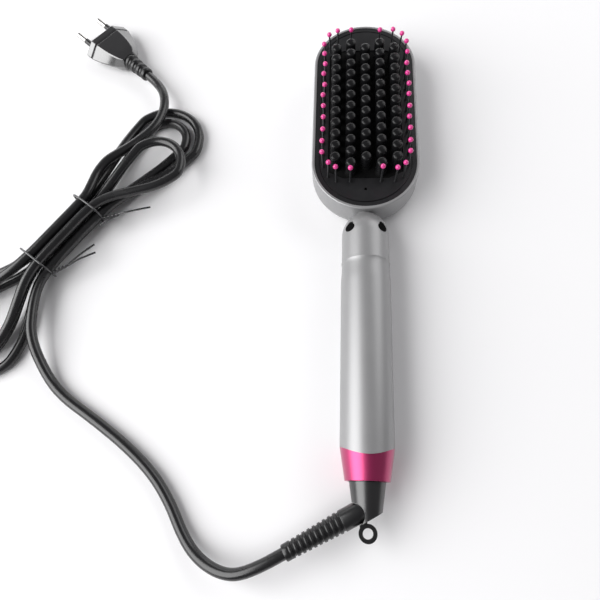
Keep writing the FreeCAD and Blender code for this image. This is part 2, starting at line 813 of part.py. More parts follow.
keep(cut("strip_cut", fuse("strip_fused", [strip, strip_flange]), fuse("strip_holes", strip_holes)),
     "control_panel")
keep(block("window_pane", window_width - fit_gap * 2, window_length - fit_gap * 2,
           control_flange_z + control_flange_thickness - control_recess, 0, window_y, control_recess),
     "display_window")

# Swivel places along the axis, from the bush to the tip of the slip-ring core
journal_radius = journal_width / 2
core_radius = ring_core / 2
bush_foot = collar_end + bush_setback
bush_head = bush_foot + bush_length
shoulder = bush_head + seat_gap
clip_head = shoulder + clip_thickness
core_tip = clip_head + slip_ring_width * 2 + slip_ring_pitch

# Electronics on a tray through the handle
keep(block("board", board_width, board_length, board_thickness, 0, control_mid, board_z), "circuit_board")
switches = [block("switch_" + str(number), switch_width, switch_width, switch_height, 0, along,
                  board_z - switch_height)
            for number, along in enumerate((power_y, heat_up_y, heat_down_y))]
keep(group("switch_group", switches), "tact_switches")
keep(block("module", window_width, window_length, display_height, 0, window_y,
           board_z - display_height), "display_module")
tray_half = root(neck_inner * neck_inner - (axis - tray_z) * (axis - tray_z)) - fit_gap
tray_front = crease - tray_setback
tray_tail = core_tip + tray_gap
tray_length = tray_front - tray_tail
tray_mid = (tray_front + tray_tail) / 2
keep(block("tray", tray_half * 2, tray_length, tray_thickness, 0, tray_mid, tray_z), "board_tray")
power_front = crease - power_board_setback
power_mid = power_front - power_board_length / 2
keep(block("mains_board", power_board_width, power_board_length, board_thickness, 0, power_mid,
           tray_top), "power_board")
relay_y = power_mid + part_spacing
capacitor_y = relay_y - relay_length / 2 - part_spacing - capacitor_length / 2
keep(block("relay_case", relay_width, relay_length, relay_height, 0, relay_y, power_top), "relay")
keep(block("capacitor_case", capacitor_width, capacitor_length, capacitor_height, 0, capacitor_y,
           power_top), "capacitor")
ion_y = power_front - power_board_length - part_spacing - ion_length / 2
keep(block("ion_case", ion_width, ion_length, ion_height, 0, ion_y, tray_top), "ion_generator")

# Swivel: a bush held in the collar, a journal with a clip and two slip rings, and spring wipers
bush_outer = collar_inner - fit_gap / 2
bush_profile = [(journal_radius + run_gap, bush_foot), (bush_outer, bush_foot), (bush_outer, bush_head),
                (journal_radius + run_gap, bush_head)]
keep(turned("bush", bush_profile, {}, axis), "swivel_bush")
clip_profile = [(core_radius + run_gap / 2, shoulder), (clip_width / 2, shoulder),
                (clip_width / 2, clip_head),
                (core_radius + run_gap / 2, clip_head)]
keep(turned("clip", clip_profile, {}, axis), "swivel_clip")
ring_outer = slip_ring_diameter / 2
slip_rings = []
for number in range(2):
    foot = clip_head + slip_ring_width / 2 + number * slip_ring_pitch
    ring_profile = [(core_radius + run_gap / 2, foot), (ring_outer, foot),
                    (ring_outer, foot + slip_ring_width),
                    (core_radius + run_gap / 2, foot + slip_ring_width)]
    slip_rings.append(turned("slip_ring_" + str(number), ring_profile, {}, axis))
keep(group("slip_ring_pair", slip_rings), "slip_rings")
block_top = axis + ring_outer + seat_gap
block_y = tray_tail + contact_block_length / 2
keep(block("wiper_block", contact_block_width, contact_block_length, block_top - tray_top, 0, block_y,
           tray_top),
     "contact_block")
wipers = []
for number, side in ((0, -1), (1, 1)):
    reach = wiper_length - number * slip_ring_pitch
    wipers.append(block("wiper_" + str(number), wiper_width, reach, wiper_thickness,
                        side * wiper_spread / 2,
                        tray_tail + contact_block_length - reach / 2, block_top))
keep(group("wiper_pair", wipers), "contact_wipers")

# Elbow: a cone cut by a heel plane along the cord and an exit plane across it, with the journal on top
cos_exit = math.cos(math.radians(exit_angle))
sin_exit = math.sin(math.radians(exit_angle))
elbow_top = collar_end - elbow_gap
elbow_radius = elbow_width / 2
elbow_profile = [(0, elbow_top - elbow_length), (elbow_end_width / 2, elbow_top - elbow_length),
                 (elbow_radius, elbow_top),
                 (journal_radius, elbow_top), (journal_radius, shoulder), (core_radius, shoulder),
                 (core_radius, core_tip), (0, core_tip)]
elbow_turned = turned("elbow_turned", elbow_profile, {}, axis)
reach = elbow_width * 2
heel_y = collar_end - heel_drop
exit_x = -exit_side
exit_y = collar_end - exit_drop


def along_cord(name, x, y, from_along, from_across, to_along, to_across, width):
    """A box in the cord's frame at x, y, centred on the handle axis in height."""
    thing = turn(doc.addObject("Part::Box", name), Z_AXIS, 180 + exit_angle)
    bind(thing, Length=to_along - from_along, Width=to_across - from_across, Height=width)
    return move(thing, x - cos_exit * from_along + sin_exit * from_across,
                y - sin_exit * from_along - cos_exit * from_across, axis - width / 2)


heel_space = along_cord("heel_space", heel_side, heel_y, -reach, 0 * reach, reach, reach, reach)
exit_space = along_cord("exit_space", exit_x, exit_y, 0 * reach, -reach, reach, reach, reach)
pocket_x = exit_x - cos_exit * relief_pocket_shift
pocket_y = exit_y - sin_exit * relief_pocket_shift
pocket = rod("pocket", relief_pocket, reach, pocket_x, pocket_y, axis - reach / 2)
elbow_spaces = fuse("elbow_spaces", [heel_space, exit_space, pocket])
keep(cut("elbow_cut", elbow_turned, elbow_spaces), "swivel_elbow")

# Hanging loop on the heel of the elbow
loop_z = axis - loop_thickness / 2
loop_disc = rod("loop_disc", loop_width, loop_thickness, 0, loop_mid, loop_z)
loop_tab = block("loop_tab", loop_tab_width, loop_width * 2, loop_thickness, -loop_tab_shift,
                 loop_mid + loop_width,
                 loop_z)
heel_mask = along_cord("heel_mask", heel_side, heel_y, -reach, 0 * reach, reach, reach, reach)
loop_trimmed = common("loop_trimmed", [fuse("loop_fused", [loop_disc, loop_tab]), heel_mask])
loop_hole = rod("loop_hole", loop_bore, loop_thickness + overrun * 2, 0, loop_mid, loop_z - overrun)
keep(cut("loop_cut", loop_trimmed, loop_hole), "hanging_loop")


TUBE_SIDES = 8
TUBE_SHARE = 1.03


def tube_section(place, heading, radius):
    """An eight-sided outline square to a heading, with about the area of the round one."""
    ahead = FreeCAD.Vector(heading).normalize()
    sideways = ahead.cross(Z_AXIS).normalize()
    upward = sideways.cross(ahead)
    corners = []
    for number in range(TUBE_SIDES + 1):
        angle = 2 * math.pi * (number % TUBE_SIDES + 0.5) / TUBE_SIDES
        spoke = sideways * math.cos(angle) + upward * math.sin(angle)
        corners.append(place + spoke * (radius * TUBE_SHARE))
    return Part.makePolygon(corners)


def polyline_tube(points, radius, label):
    """A tube along straight runs joined by tangent arcs; prints its tightest bend and length."""
    edges = []
    here = points[0]
    bends = []
    for before, corner, after in zip(points, points[1:], points[2:]):
        inward = (corner - before).normalize()
        outward = (after - corner).normalize()
        half_turn = inward.getAngle(outward) / 2
        setback = BEND_SHARE * min((corner - before).Length, (after - corner).Length)
        bend = setback / math.tan(half_turn)
        start = corner - inward * setback
        end = corner + outward * setback
        middle = corner + (outward - inward).normalize() * (bend / math.cos(half_turn) - bend)
        edges.append(Part.LineSegment(here, start).toShape())
        edges.append(Part.Arc(start, middle, end).toShape())
        bends.append(bend)
        here = end
    edges.append(Part.LineSegment(here, points[-1]).toShape())
    spine = Part.Wire(edges)
    section = tube_section(points[0], points[1] - points[0], radius)
    solid = spine.makePipeShell([section], True, False)
    share = solid.Volume / (Part.Face(section).Area * spine.Length)
    print(label, "tightest bend", round(min(bends), 2), "length", round(spine.Length, 1),
          "volume share", round(share, 4))
    return solid


BEND_SHARE = 0.45

# Heater leads from the heater's end, past the screw post and through the neck to the power board
lead_shapes = []
lead_mid = (panel_bottom + mica_bottom + mica_thickness) / 2
for side in (-1, 1):
    outer = post_width / 2 + lead_width * 1.5
    inner = lead_spread / 2
    heater_end = head_mid - heater_length / 2
    spigot_tip = neck_front + spigot_reach
    run = heater_end - spigot_tip
    lead_z = power_top + lead_width / 2 + fit_gap
    route = [(outer, heater_end, lead_mid), (outer, heater_end - run * 0.45, lead_mid - lead_width / 4),
             ((outer + inner) / 2, heater_end - run * 0.8, (lead_mid + axis) / 2),
             (inner, spigot_tip, axis),
             (inner, neck_front, lead_z), (inner, power_front - lead_width * 2, lead_z)]
    lead_points = [FreeCAD.Vector(side * x.number, y.number, z.number) for x, y, z in route]
    lead_shapes.append(polyline_tube(lead_points, lead_width.number / 2, "heater lead"))
keep(formed("leads", Part.makeCompound(lead_shapes)), "heater_leads")


def ribbed(steps):
    """A turned form along X through (distance, radius) steps, each side of it straight."""
    wires = []
    for distance, radius in steps:
        circle = Part.Circle(FreeCAD.Vector(distance, 0, 0), X_AXIS, radius)
        wires.append(Part.Wire([circle.toShape()]))
    return Part.makeLoft(wires, True, True)


def rib_steps(start, end, first_radius, last_radius, depth, count):
    """Steps of a row of ribs with a groove before each."""
    pitch = (end - start) / count
    steps = []
    for number in range(count):
        radius = first_radius + (last_radius - first_radius) * (number + 0.5) / count
        foot = start + number * pitch
        for share, sink in ((RIB_SHARES[0], depth), (RIB_SHARES[1], depth), (RIB_SHARES[2], 0),
                            (RIB_SHARES[3], 0)):
            steps.append((foot + share * pitch, radius - sink))
    return steps


RIB_SHARES = (0.06, 0.44, 0.5, 1.0)
root_radius = relief_root_width.number / 2
relief_tip = relief_end_width.number / 2
relief_steps = [(-root_radius, root_radius), (relief_smooth.number, root_radius)]
ribs_end = relief_length.number - relief_collar.number
relief_steps += rib_steps(relief_smooth.number, ribs_end, root_radius, relief_tip, relief_groove.number,
                          relief_ribs)
relief_steps.append((relief_length.number, relief_tip))
relief = turn(formed("relief", ribbed(relief_steps)), Z_AXIS, 180 + exit_angle)
move(relief, exit_x, exit_y, axis)
root_box = along_cord("root_box", exit_x, exit_y, -reach, -reach, relief_pocket_shift, reach, reach)
root_core = rod("root_core", relief_pocket - seat_gap, reach, pocket_x, pocket_y, axis - reach / 2)
keep(cut("relief_trimmed", relief, cut("root_corners", root_box, root_core)), "strain_relief")

# Cord from the strain relief to the start of the tied hank, lying on the table
cord_radius = cord_width.number / 2
rest_z = cord_radius + floor_gap.number
low_z = rest_z + tie_wire.number + fit_gap.number * 2
middle_z = low_z + hank_layer.number
top_z = middle_z + hank_layer.number
relief_end_x = exit_x - cos_exit * relief_length
relief_end_y = exit_y - sin_exit * relief_length
cord_start = FreeCAD.Vector(relief_end_x.number, relief_end_y.number, axis.number)
cord_lead = cord_start + FreeCAD.Vector(-cos_exit, -sin_exit, 0) * (cord_width.number * 2)
hank_turn = math.radians(hank_angle)


def hank_point(along, across, height):
    """A place in the hank's own frame: along its length, across it and above the table."""
    x = hank_x.number + along * math.cos(hank_turn) - across * math.sin(hank_turn)
    y = hank_y.number + along * math.sin(hank_turn) + across * math.cos(hank_turn)
    return FreeCAD.Vector(x, y, height)


waist = waist_length.number / 2
pitch = hank_pitch.number
half_row = pitch / 2
entry_angle = math.radians(entry_turn)
entry_bend = entry_radius.number
entry_foot = -entry_end.number
arc_start_along = entry_foot - entry_bend * math.sin(entry_angle)
arc_start_across = -pitch - entry_bend * (1 - math.cos(entry_angle))
hank_lead = cord_width.number
hank_start_along = arc_start_along - hank_lead * math.cos(entry_angle)
hank_start_across = arc_start_across - hank_lead * math.sin(entry_angle)
hank_start = hank_point(hank_start_along, hank_start_across, middle_z)
before_hank = hank_point(hank_start_along - 2 * hank_lead * math.cos(entry_angle),
                         hank_start_across - 2 * hank_lead * math.sin(entry_angle), middle_z)
FREE_ROUTE = ((-62, -174.6, 12.2), (-70.6, -174.5, 9.6), (-79.8, -171.2, 6.8), (-88, -165.1, 4.7),
              (-94.6, -156.4, 3.5),
              (-101.9, -143.3, 3.15), (-112.5, -129.5, 3.1), (-129, -115.5, 3.1), (-150, -101.5, 3.1),
              (-170, -89.5, 3.15), (-182.3, -77, 3.6))
free_points = [cord_start, cord_lead]
free_points += [FreeCAD.Vector(x, y, z) for x, y, z in FREE_ROUTE]
free_points += [before_hank, hank_start]
keep(formed("free_tube", polyline_tube(free_points, cord_radius, "free cord")), "cord_free")


class Route:
    """A path through the hank made of straights, double bends and half turns that meet smoothly."""

    def __init__(self, along, across, height):
        self.place = (along, across, height)
        self.edges = []

    def line_to(self, along, across, height):
        start = hank_point(*self.place)
        self.edges.append(Part.LineSegment(start, hank_point(along, across, height)).toShape())
        self.place = (along, across, height)

    def arc(self, middle, end):
        start = hank_point(*self.place)
        self.edges.append(Part.Arc(start, hank_point(*middle), hank_point(*end)).toShape())
        self.place = end

    def bend_to(self, along, across, height):
        """Two equal arcs in one tilted plane that leave and arrive along the hank."""
        along_now, across_now, height_now = self.place
        run = along - along_now
        side = across - across_now
        rise = height - height_now
        shift = math.hypot(side, rise)
        bow = (run * run + shift * shift) / (4 * abs(shift))
        half = math.atan2(shift, abs(run))
        drop = bow * (1 - math.cos(half)) / shift
        step = math.copysign(bow * math.sin(half), run)
        first = (along_now + step, across_now + side * drop, height_now + rise * drop)
        centre = (along_now + run / 2, across_now + side / 2, height_now + rise / 2)
        second = (along - step, across - side * drop, height - rise * drop)
        self.arc(first, centre)
        self.arc(second, (along, across, height))

    def half_turn(self, centre, side):
        """A flat half turn round a centre line, over the end of the hank on the given side."""
        along, across, height = self.place
        radius = abs(across - centre)
        corner = math.sqrt(0.5) * radius
        sign = math.copysign(1, across - centre)
        self.arc((along + side * corner, centre + sign * corner, height),
                 (along + side * radius, centre, height))
        self.arc((along + side * corner, centre - sign * corner, height),
                 (along, centre - sign * radius, height))


upper = waist + upper_reach.number
lower = -waist - lower_reach.number
front = waist + front_reach.number
shift = lower_shift.number
route = Route(hank_start_along, hank_start_across, middle_z)
route.line_to(arc_start_along, arc_start_across, middle_z)
half_entry = entry_angle / 2
route.arc((entry_foot - entry_bend * math.sin(half_entry),
           -pitch - entry_bend * (1 - math.cos(half_entry)), middle_z),
          (entry_foot, -pitch, middle_z))
turns = ((pitch, middle_z, 0, 0), (half_row, low_z, upper_inset.number, lower_inset.number))
for row, height, inset, low_inset in turns:
    route.line_to(waist, -row, height)
    route.bend_to(upper, inset - upper_radius.number, rest_z)
    route.half_turn(0, 1)
    route.bend_to(waist, row, height)
    route.line_to(-waist, row, height)
    route.bend_to(lower, shift + lower_radius.number - low_inset, rest_z)
    route.half_turn(shift, -1)
    if inset:
        route.bend_to(-waist, 0, middle_z)
    else:
        route.bend_to(-waist, -half_row, low_z)
route.line_to(waist, 0, middle_z)
route.bend_to(front, half_row / 4, front_height.number)
route.half_turn(half_row / 4 - front_radius.number, 1)
route.bend_to(waist, -half_row, top_z)
route.line_to(-waist, -half_row, top_z)
route.bend_to(lower, -last_radius.number, last_height.number)
route.half_turn(0, -1)
route.bend_to(-waist, half_row, top_z)
route.line_to(waist, half_row, top_z)
route.bend_to(waist + tail_run.number, tail_side.number, top_z)
hank_wire = Part.Wire(route.edges)
hank_heading = route.edges[0].Vertexes[-1].Point - route.edges[0].Vertexes[0].Point
hank_section = tube_section(hank_start, hank_heading, cord_radius)
hank_solid = hank_wire.makePipeShell([hank_section], True, False)
section_area = Part.Face(hank_section).Area
print("hank length", round(hank_wire.Length, 1), "volume share",
      round(hank_solid.Volume / section_area / hank_wire.Length, 4))
spaced = hank_wire.discretize(Distance=cord_radius / 2)
near = min((spaced[i] - spaced[j]).Length for i in range(len(spaced)) for j in range(i + 12, len(spaced)))
print("least gap between turns of the hank", round(near - 2 * cord_radius, 2))
keep(formed("hank_tube", hank_solid), "cord_hank")

# Cord from the hank to the plug
plug_z = plug_height.number / 2 + plug_lift.number
PLUG_HEADING = 138
plug_turn = math.radians(PLUG_HEADING)
plug_tail = FreeCAD.Vector(-150.0, 135.6, plug_z)
plug_forward = FreeCAD.Vector(math.cos(plug_turn), math.sin(plug_turn), 0)
tail_head = hank_point(waist + tail_run.number, tail_side.number, top_z)
TAIL_ROUTE = ((-152, 69.4, 14.4), (-146.8, 75.7, 12.8), (-137.5, 87, 11.6), (-133.2, 100.3, 10.6),
              (-134.2, 114.3, 9.6))
tail_lead = hank_point(waist + tail_run.number + cord_width.number, tail_side.number, top_z)
tail_points = [tail_head, tail_lead]
tail_points += [FreeCAD.Vector(x, y, z) for x, y, z in TAIL_ROUTE]
tail_points += [plug_tail - plug_forward * (cord_width.number * 2), plug_tail]
keep(formed("tail_tube", polyline_tube(tail_points, cord_radius, "tail cord")), "cord_plug_tail")

# Twist ties round the hank, each a wire ring with a twisted stub and two tails
tie_radius = tie_wire.number / 2
tie_gap = fit_gap.number * 8
tie_half = pitch + cord_radius + tie_gap + tie_radius
tie_foot = tie_radius + floor_gap.number
tie_head = top_z + cord_radius + tie_gap + tie_radius
TIE_SHARE = 0.98


def wire_rod(start, end, radius):
    return Part.makeCylinder(radius, (end - start).Length, start, end - start)


def ring_section(place, heading, sideways):
    """A square outline of the tie's wire where its ring starts."""
    across = FreeCAD.Vector(sideways).normalize() * tie_radius
    lengthways = FreeCAD.Vector(heading).cross(sideways).normalize() * tie_radius
    corners = [place + across, place + lengthways, place - across, place - lengthways, place + across]
    return Part.makePolygon(corners)


def from_side(along, across, angle, distance):
    """A place in the hank's frame at an angle that is measured from straight out of its side."""
    turn_angle = math.radians(angle)
    return along + distance * math.sin(turn_angle), across - distance * math.cos(turn_angle)


def tie(along, lean, tails):
    """A rounded ring across the hank, with a leaning twist and tails at angles from its side."""
    corners = [hank_point(along, across, height) for across, height in
               ((-tie_half, tie_foot), (tie_half, tie_foot), (tie_half, tie_head), (-tie_half, tie_head))]
    edges = []
    for number in range(4):
        before, corner, after = corners[number - 1], corners[number], corners[(number + 1) % 4]
        inward = (corner - before).normalize()
        outward = (after - corner).normalize()
        start = corner - inward * cord_radius
        end = corner + outward * cord_radius
        middle = corner + (outward - inward) * (cord_radius * (1 - math.sqrt(0.5)))
        edges.append(Part.Arc(start, middle, end).toShape())
        edges.append(Part.LineSegment(end, after - outward * cord_radius).toShape())
    section = ring_section(edges[0].Vertexes[0].Point, corners[0] - corners[3], corners[1] - corners[0])
    ring = Part.Wire(edges).makePipeShell([section], True, False)
    height = (tie_foot + tie_head) / 2
    stub_start = hank_point(along, -tie_half - tie_radius / 2, height)
    knot_along, knot_across = from_side(along, -tie_half, lean, tie_twist_length.number)
    knot = hank_point(knot_along, knot_across, height)
    pieces = [wire_rod(stub_start, knot, tie_twist.number / 2)]
    for angle, share in tails:
        tip_along, tip_across = from_side(knot_along, knot_across, angle, tie_tail_length.number * share)
        pieces.append(wire_rod(knot, hank_point(tip_along, tip_across, height), tie_radius))
    return ring.fuse(pieces)


tie_place = waist * TIE_SHARE
upper_tie = tie(tie_place, 50, ((51, 1.0), (-112, 0.65)))
lower_tie = tie(-tie_place, 68, ((80, 1.0), (64, 0.9)))
keep(formed("ties", Part.makeCompound([upper_tie, lower_tie])), "twist_ties")


# Mains plug with a hexagonal section: a front slab, a grip groove, a tapering body and a ribbed tail
def hexagon(distance, width, flat, height):
    corners = ((width, 0), (flat, height), (-flat, height), (-width, 0), (-flat, -height),
               (flat, -height), (width, 0))
    return Part.makePolygon([FreeCAD.Vector(distance, across / 2, up / 2) for across, up in corners])


def plug_piece(name, shape, label):
    thing = turn(formed(name, shape), Z_AXIS, PLUG_HEADING)
    thing.Placement.Base = plug_tail
    return keep(thing, label)


body_start = plug_relief_length.number
body_end = body_start + plug_length.number
slab_start = body_end - plug_slab.number
groove_start = slab_start - plug_groove.number
full = (plug_width.number, plug_flat.number, plug_height.number)
tail_flat = plug_flat.number * plug_tail_width.number / plug_width.number
tail_size = (plug_tail_width.number, tail_flat, plug_tail_height.number)
sunk = [length_here - 2 * plug_groove.number for length_here in full]
PLUG_SWELL_SHARES = ((0.34, 0.68), (0.67, 0.87))
taper_run = groove_start - body_start
height_gain = plug_height.number - plug_tail_height.number
stations = [hexagon(body_start, *tail_size)]
for along_share, wide_share in PLUG_SWELL_SHARES:
    place = body_start + taper_run * along_share
    height_here = plug_tail_height.number + height_gain * wide_share
    stations.append(hexagon(place, plug_width.number * wide_share, plug_flat.number * wide_share,
                            height_here))
stations.append(hexagon(groove_start, *full))
plug_taper = Part.makeLoft(stations, True, True)
plug_neck = Part.makeLoft([hexagon(groove_start, *sunk), hexagon(slab_start, *sunk)], True, True)
plug_front = Part.makeLoft([hexagon(slab_start, *full), hexagon(body_end, *full)], True, True)
plug_piece("plug_form", plug_taper.fuse([plug_neck, plug_front]), "plug_body")
PLUG_RIBS = 3
plug_root = plug_tail_height.number / 2
plug_tip = plug_tip_width.number / 2
plug_steps = [(0, plug_tip), (relief_collar.number, plug_tip)]
plug_steps += rib_steps(relief_collar.number, body_start, plug_tip, plug_root, relief_groove.number,
                        PLUG_RIBS)
plug_piece("plug_tail_form", ribbed(plug_steps), "plug_relief")
PIN_CORE_SHARE = 0.7
pin_shapes = []
sleeve_shapes = []
for side in (-1, 1):
    across = side * pin_pitch.number / 2
    foot = FreeCAD.Vector(body_end, across, 0)
    core_radius_here = pin_width.number / 2 * PIN_CORE_SHARE
    sleeve_radius = pin_width.number / 2
    sleeve_tip = foot + X_AXIS * sleeve_reach.number
    core = Part.makeCylinder(core_radius_here, sleeve_reach.number, foot, X_AXIS)
    tip = Part.makeCylinder(pin_width.number / 2, pin_length.number - sleeve_reach.number, sleeve_tip,
                            X_AXIS)
    outer = Part.makeCylinder(sleeve_radius, sleeve_reach.number, foot, X_AXIS)
    inner = Part.makeCylinder(core_radius_here + run_gap.number / 4, sleeve_reach.number, foot, X_AXIS)
    pin_shapes.append(core.fuse(tip))
    sleeve_shapes.append(outer.cut(inner))
plug_piece("pin_forms", Part.makeCompound(pin_shapes), "plug_pins")
plug_piece("sleeve_forms", Part.makeCompound(sleeve_shapes), "pin_sleeves")

# Nothing is written unless every object came out whole
doc.recompute()
failed = [thing.Name for thing in doc.Objects if "Invalid" in thing.State or "Error" in thing.State]
for thing in subparts:
    if thing.Shape.isNull() or not thing.Shape.isValid() or not thing.Shape.Solids:
        failed.append(thing.Label)
if failed:
    raise RuntimeError("these objects failed: " + ", ".join(failed))
os.makedirs("parts", exist_ok=True)
for thing in subparts:
    thing.Shape.exportStep(os.path.join("parts", thing.Label + ".step"))
print(len(subparts), "pieces written")
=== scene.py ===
"""Finishes, bristles, cord and stage of a heated styling brush, set over its solids."""
import math
import random

import bmesh
import bpy
from bpy.props import FloatProperty, FloatVectorProperty, IntProperty, PointerProperty
from mathutils import Matrix, Vector


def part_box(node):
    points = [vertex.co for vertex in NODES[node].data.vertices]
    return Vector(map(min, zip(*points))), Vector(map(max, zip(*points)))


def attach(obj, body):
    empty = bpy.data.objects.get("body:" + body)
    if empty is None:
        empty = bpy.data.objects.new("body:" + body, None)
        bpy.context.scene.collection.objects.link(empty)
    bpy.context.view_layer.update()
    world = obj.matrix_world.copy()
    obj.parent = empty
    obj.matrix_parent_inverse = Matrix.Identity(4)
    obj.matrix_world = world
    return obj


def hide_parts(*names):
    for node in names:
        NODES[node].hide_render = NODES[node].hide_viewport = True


bl_info = {
    "name": "Heated Styling Brush",
    "version": (1, 0, 0),
    "blender": (4, 5, 0),
    "location": "View3D > Sidebar > Brush",
    "description": "Dresses the solids of a heated styling brush and sets its stage",
    "category": "Object",
}

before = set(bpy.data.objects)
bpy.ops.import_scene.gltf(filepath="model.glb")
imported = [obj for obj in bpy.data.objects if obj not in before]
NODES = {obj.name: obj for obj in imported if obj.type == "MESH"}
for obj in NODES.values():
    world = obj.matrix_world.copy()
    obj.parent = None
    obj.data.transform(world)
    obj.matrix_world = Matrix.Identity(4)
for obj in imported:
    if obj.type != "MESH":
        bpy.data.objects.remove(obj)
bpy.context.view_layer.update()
MM = 0.001
UPWARD = Vector((0, 0, 1))
FRAME_PIXELS = 600


def middle(node):
    """Middle of a solid's box."""
    low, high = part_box(node)
    return (Vector(low) + Vector(high)) / 2


def top_of(node):
    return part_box(node)[1][2]


# Places that the solids give
HANDLE_HEIGHT = middle("handle_sleeve").z
HEAD_MIDDLE = middle("face_plate").y
PLATE_TOP = top_of("face_plate")
COLLAR_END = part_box("end_collar")[0][1]

# Bodies that the pieces ride on
SWIVEL_BODY = "swivel"
BRUSH_BODY = "brush"


class StageSettings(bpy.types.PropertyGroup):
    """Camera and light."""
    camera_place: FloatVectorProperty(
        name="Camera Place", description="Where the camera stands", size=3, subtype="TRANSLATION",
        unit="LENGTH", default=(-0.01483, -0.14124, 0.30052))
    camera_tilt: FloatProperty(
        name="Tilt", description="Lean of the view from straight down", subtype="ANGLE",
        default=math.radians(20.935))
    camera_roll: FloatProperty(
        name="Roll", description="Turn of the picture", subtype="ANGLE", default=math.radians(-10.347))
    camera_turn: FloatProperty(
        name="Turn", description="Turn of the view about the upright", subtype="ANGLE",
        default=math.radians(11.647))
    focal_pixels: FloatProperty(
        name="Focal Length", description="Focal length in pixels of the square picture", default=543.8)
    floor_colour: FloatVectorProperty(
        name="Floor", description="Colour of the table", size=3, subtype="COLOR",
        default=(0.885, 0.882, 0.89))
    key_power: FloatProperty(
        name="Key Light", description="Power of the large soft lamp", unit="POWER", default=49.0)
    fill_power: FloatProperty(
        name="Fill Light", description="Power of the faint lamp on the right", unit="POWER", default=6.0)
    far_power: FloatProperty(
        name="Far Light", description="Power of the low lamp beyond the head", unit="POWER", default=7.5)
    sky_strength: FloatProperty(
        name="Sky", description="Strength of the even light from all round", default=0.19)


class BrushSizes(bpy.types.PropertyGroup):
    """Sizes of the pieces that are modelled here."""
    tooth_pitch: FloatProperty(
        name="Tooth Pitch", description="Step of nubs and bristles along the head", unit="LENGTH",
        default=8.12 * MM)
    column_pitch: FloatProperty(
        name="Column Pitch", description="Step between columns of nubs", unit="LENGTH", default=9 * MM)
    nub_width: FloatProperty(
        name="Nub Width", description="Diameter of a nub", unit="LENGTH", default=6.4 * MM)
    bristle_width: FloatProperty(
        name="Bristle Width", description="Diameter of a bristle's stem at its foot", unit="LENGTH",
        default=1.3 * MM)
    ball_width: FloatProperty(
        name="Ball Width", description="Diameter of a bristle's tip", unit="LENGTH", default=3 * MM)
    bristle_lean: FloatProperty(
        name="Bristle Lean", description="Largest lean of a bristle", subtype="ANGLE",
        default=math.radians(2.2))
    cord_width: FloatProperty(
        name="Cord Width", description="Diameter of the cord", unit="LENGTH", default=6 * MM)
    seed: IntProperty(name="Seed", description="Seed of small differences", default=7)


class BrushColours(bpy.types.PropertyGroup):
    """Colours of the finishes."""
    silver: FloatVectorProperty(
        name="Silver", description="Satin paint of the head and handle", size=3, subtype="COLOR",
        default=(0.33, 0.33, 0.334))
    black: FloatVectorProperty(
        name="Black", description="Plate, nubs and bristles", size=3, subtype="COLOR",
        default=(0.010, 0.010, 0.011))
    pink: FloatVectorProperty(
        name="Pink", description="Tips of the bristles", size=3, subtype="COLOR",
        default=(0.72, 0.045, 0.28))
    collar: FloatVectorProperty(
        name="Collar", description="Translucent collar", size=3, subtype="COLOR",
        default=(0.46, 0.004, 0.12))
    rubber: FloatVectorProperty(
        name="Rubber", description="Cord and plug", size=3, subtype="COLOR",
        default=(0.006, 0.006, 0.0065))
    elbow: FloatVectorProperty(
        name="Elbow", description="Swivel elbow and loop", size=3, subtype="COLOR",
        default=(0.005, 0.005, 0.0055))


def sizes():
    return bpy.context.scene.brush_sizes


def colours():
    return bpy.context.scene.brush_colours


class Value:
    """A shader value that takes part in sums."""

    def __init__(self, finish, socket):
        self.finish = finish
        self.socket = socket

    def math(self, operation, first, second):
        made = self.finish.node("ShaderNodeMath", {"operation": operation}, {0: first, 1: second})
        return Value(self.finish, made.outputs[0])

    def __add__(self, other):
        return self.math("ADD", self, other)

    def __radd__(self, other):
        return self.math("ADD", other, self)

    def __sub__(self, other):
        return self.math("SUBTRACT", self, other)

    def __rsub__(self, other):
        return self.math("SUBTRACT", other, self)

    def __mul__(self, other):
        return self.math("MULTIPLY", self, other)

    def __rmul__(self, other):
        return self.math("MULTIPLY", other, self)

    def capped(self, most):
        return self.math("MINIMUM", self, most)


# Sockets of a colour mix, which shares their names with those of a number mix
MIX_COLOURS = (6, 7)
MIX_RESULT = 2


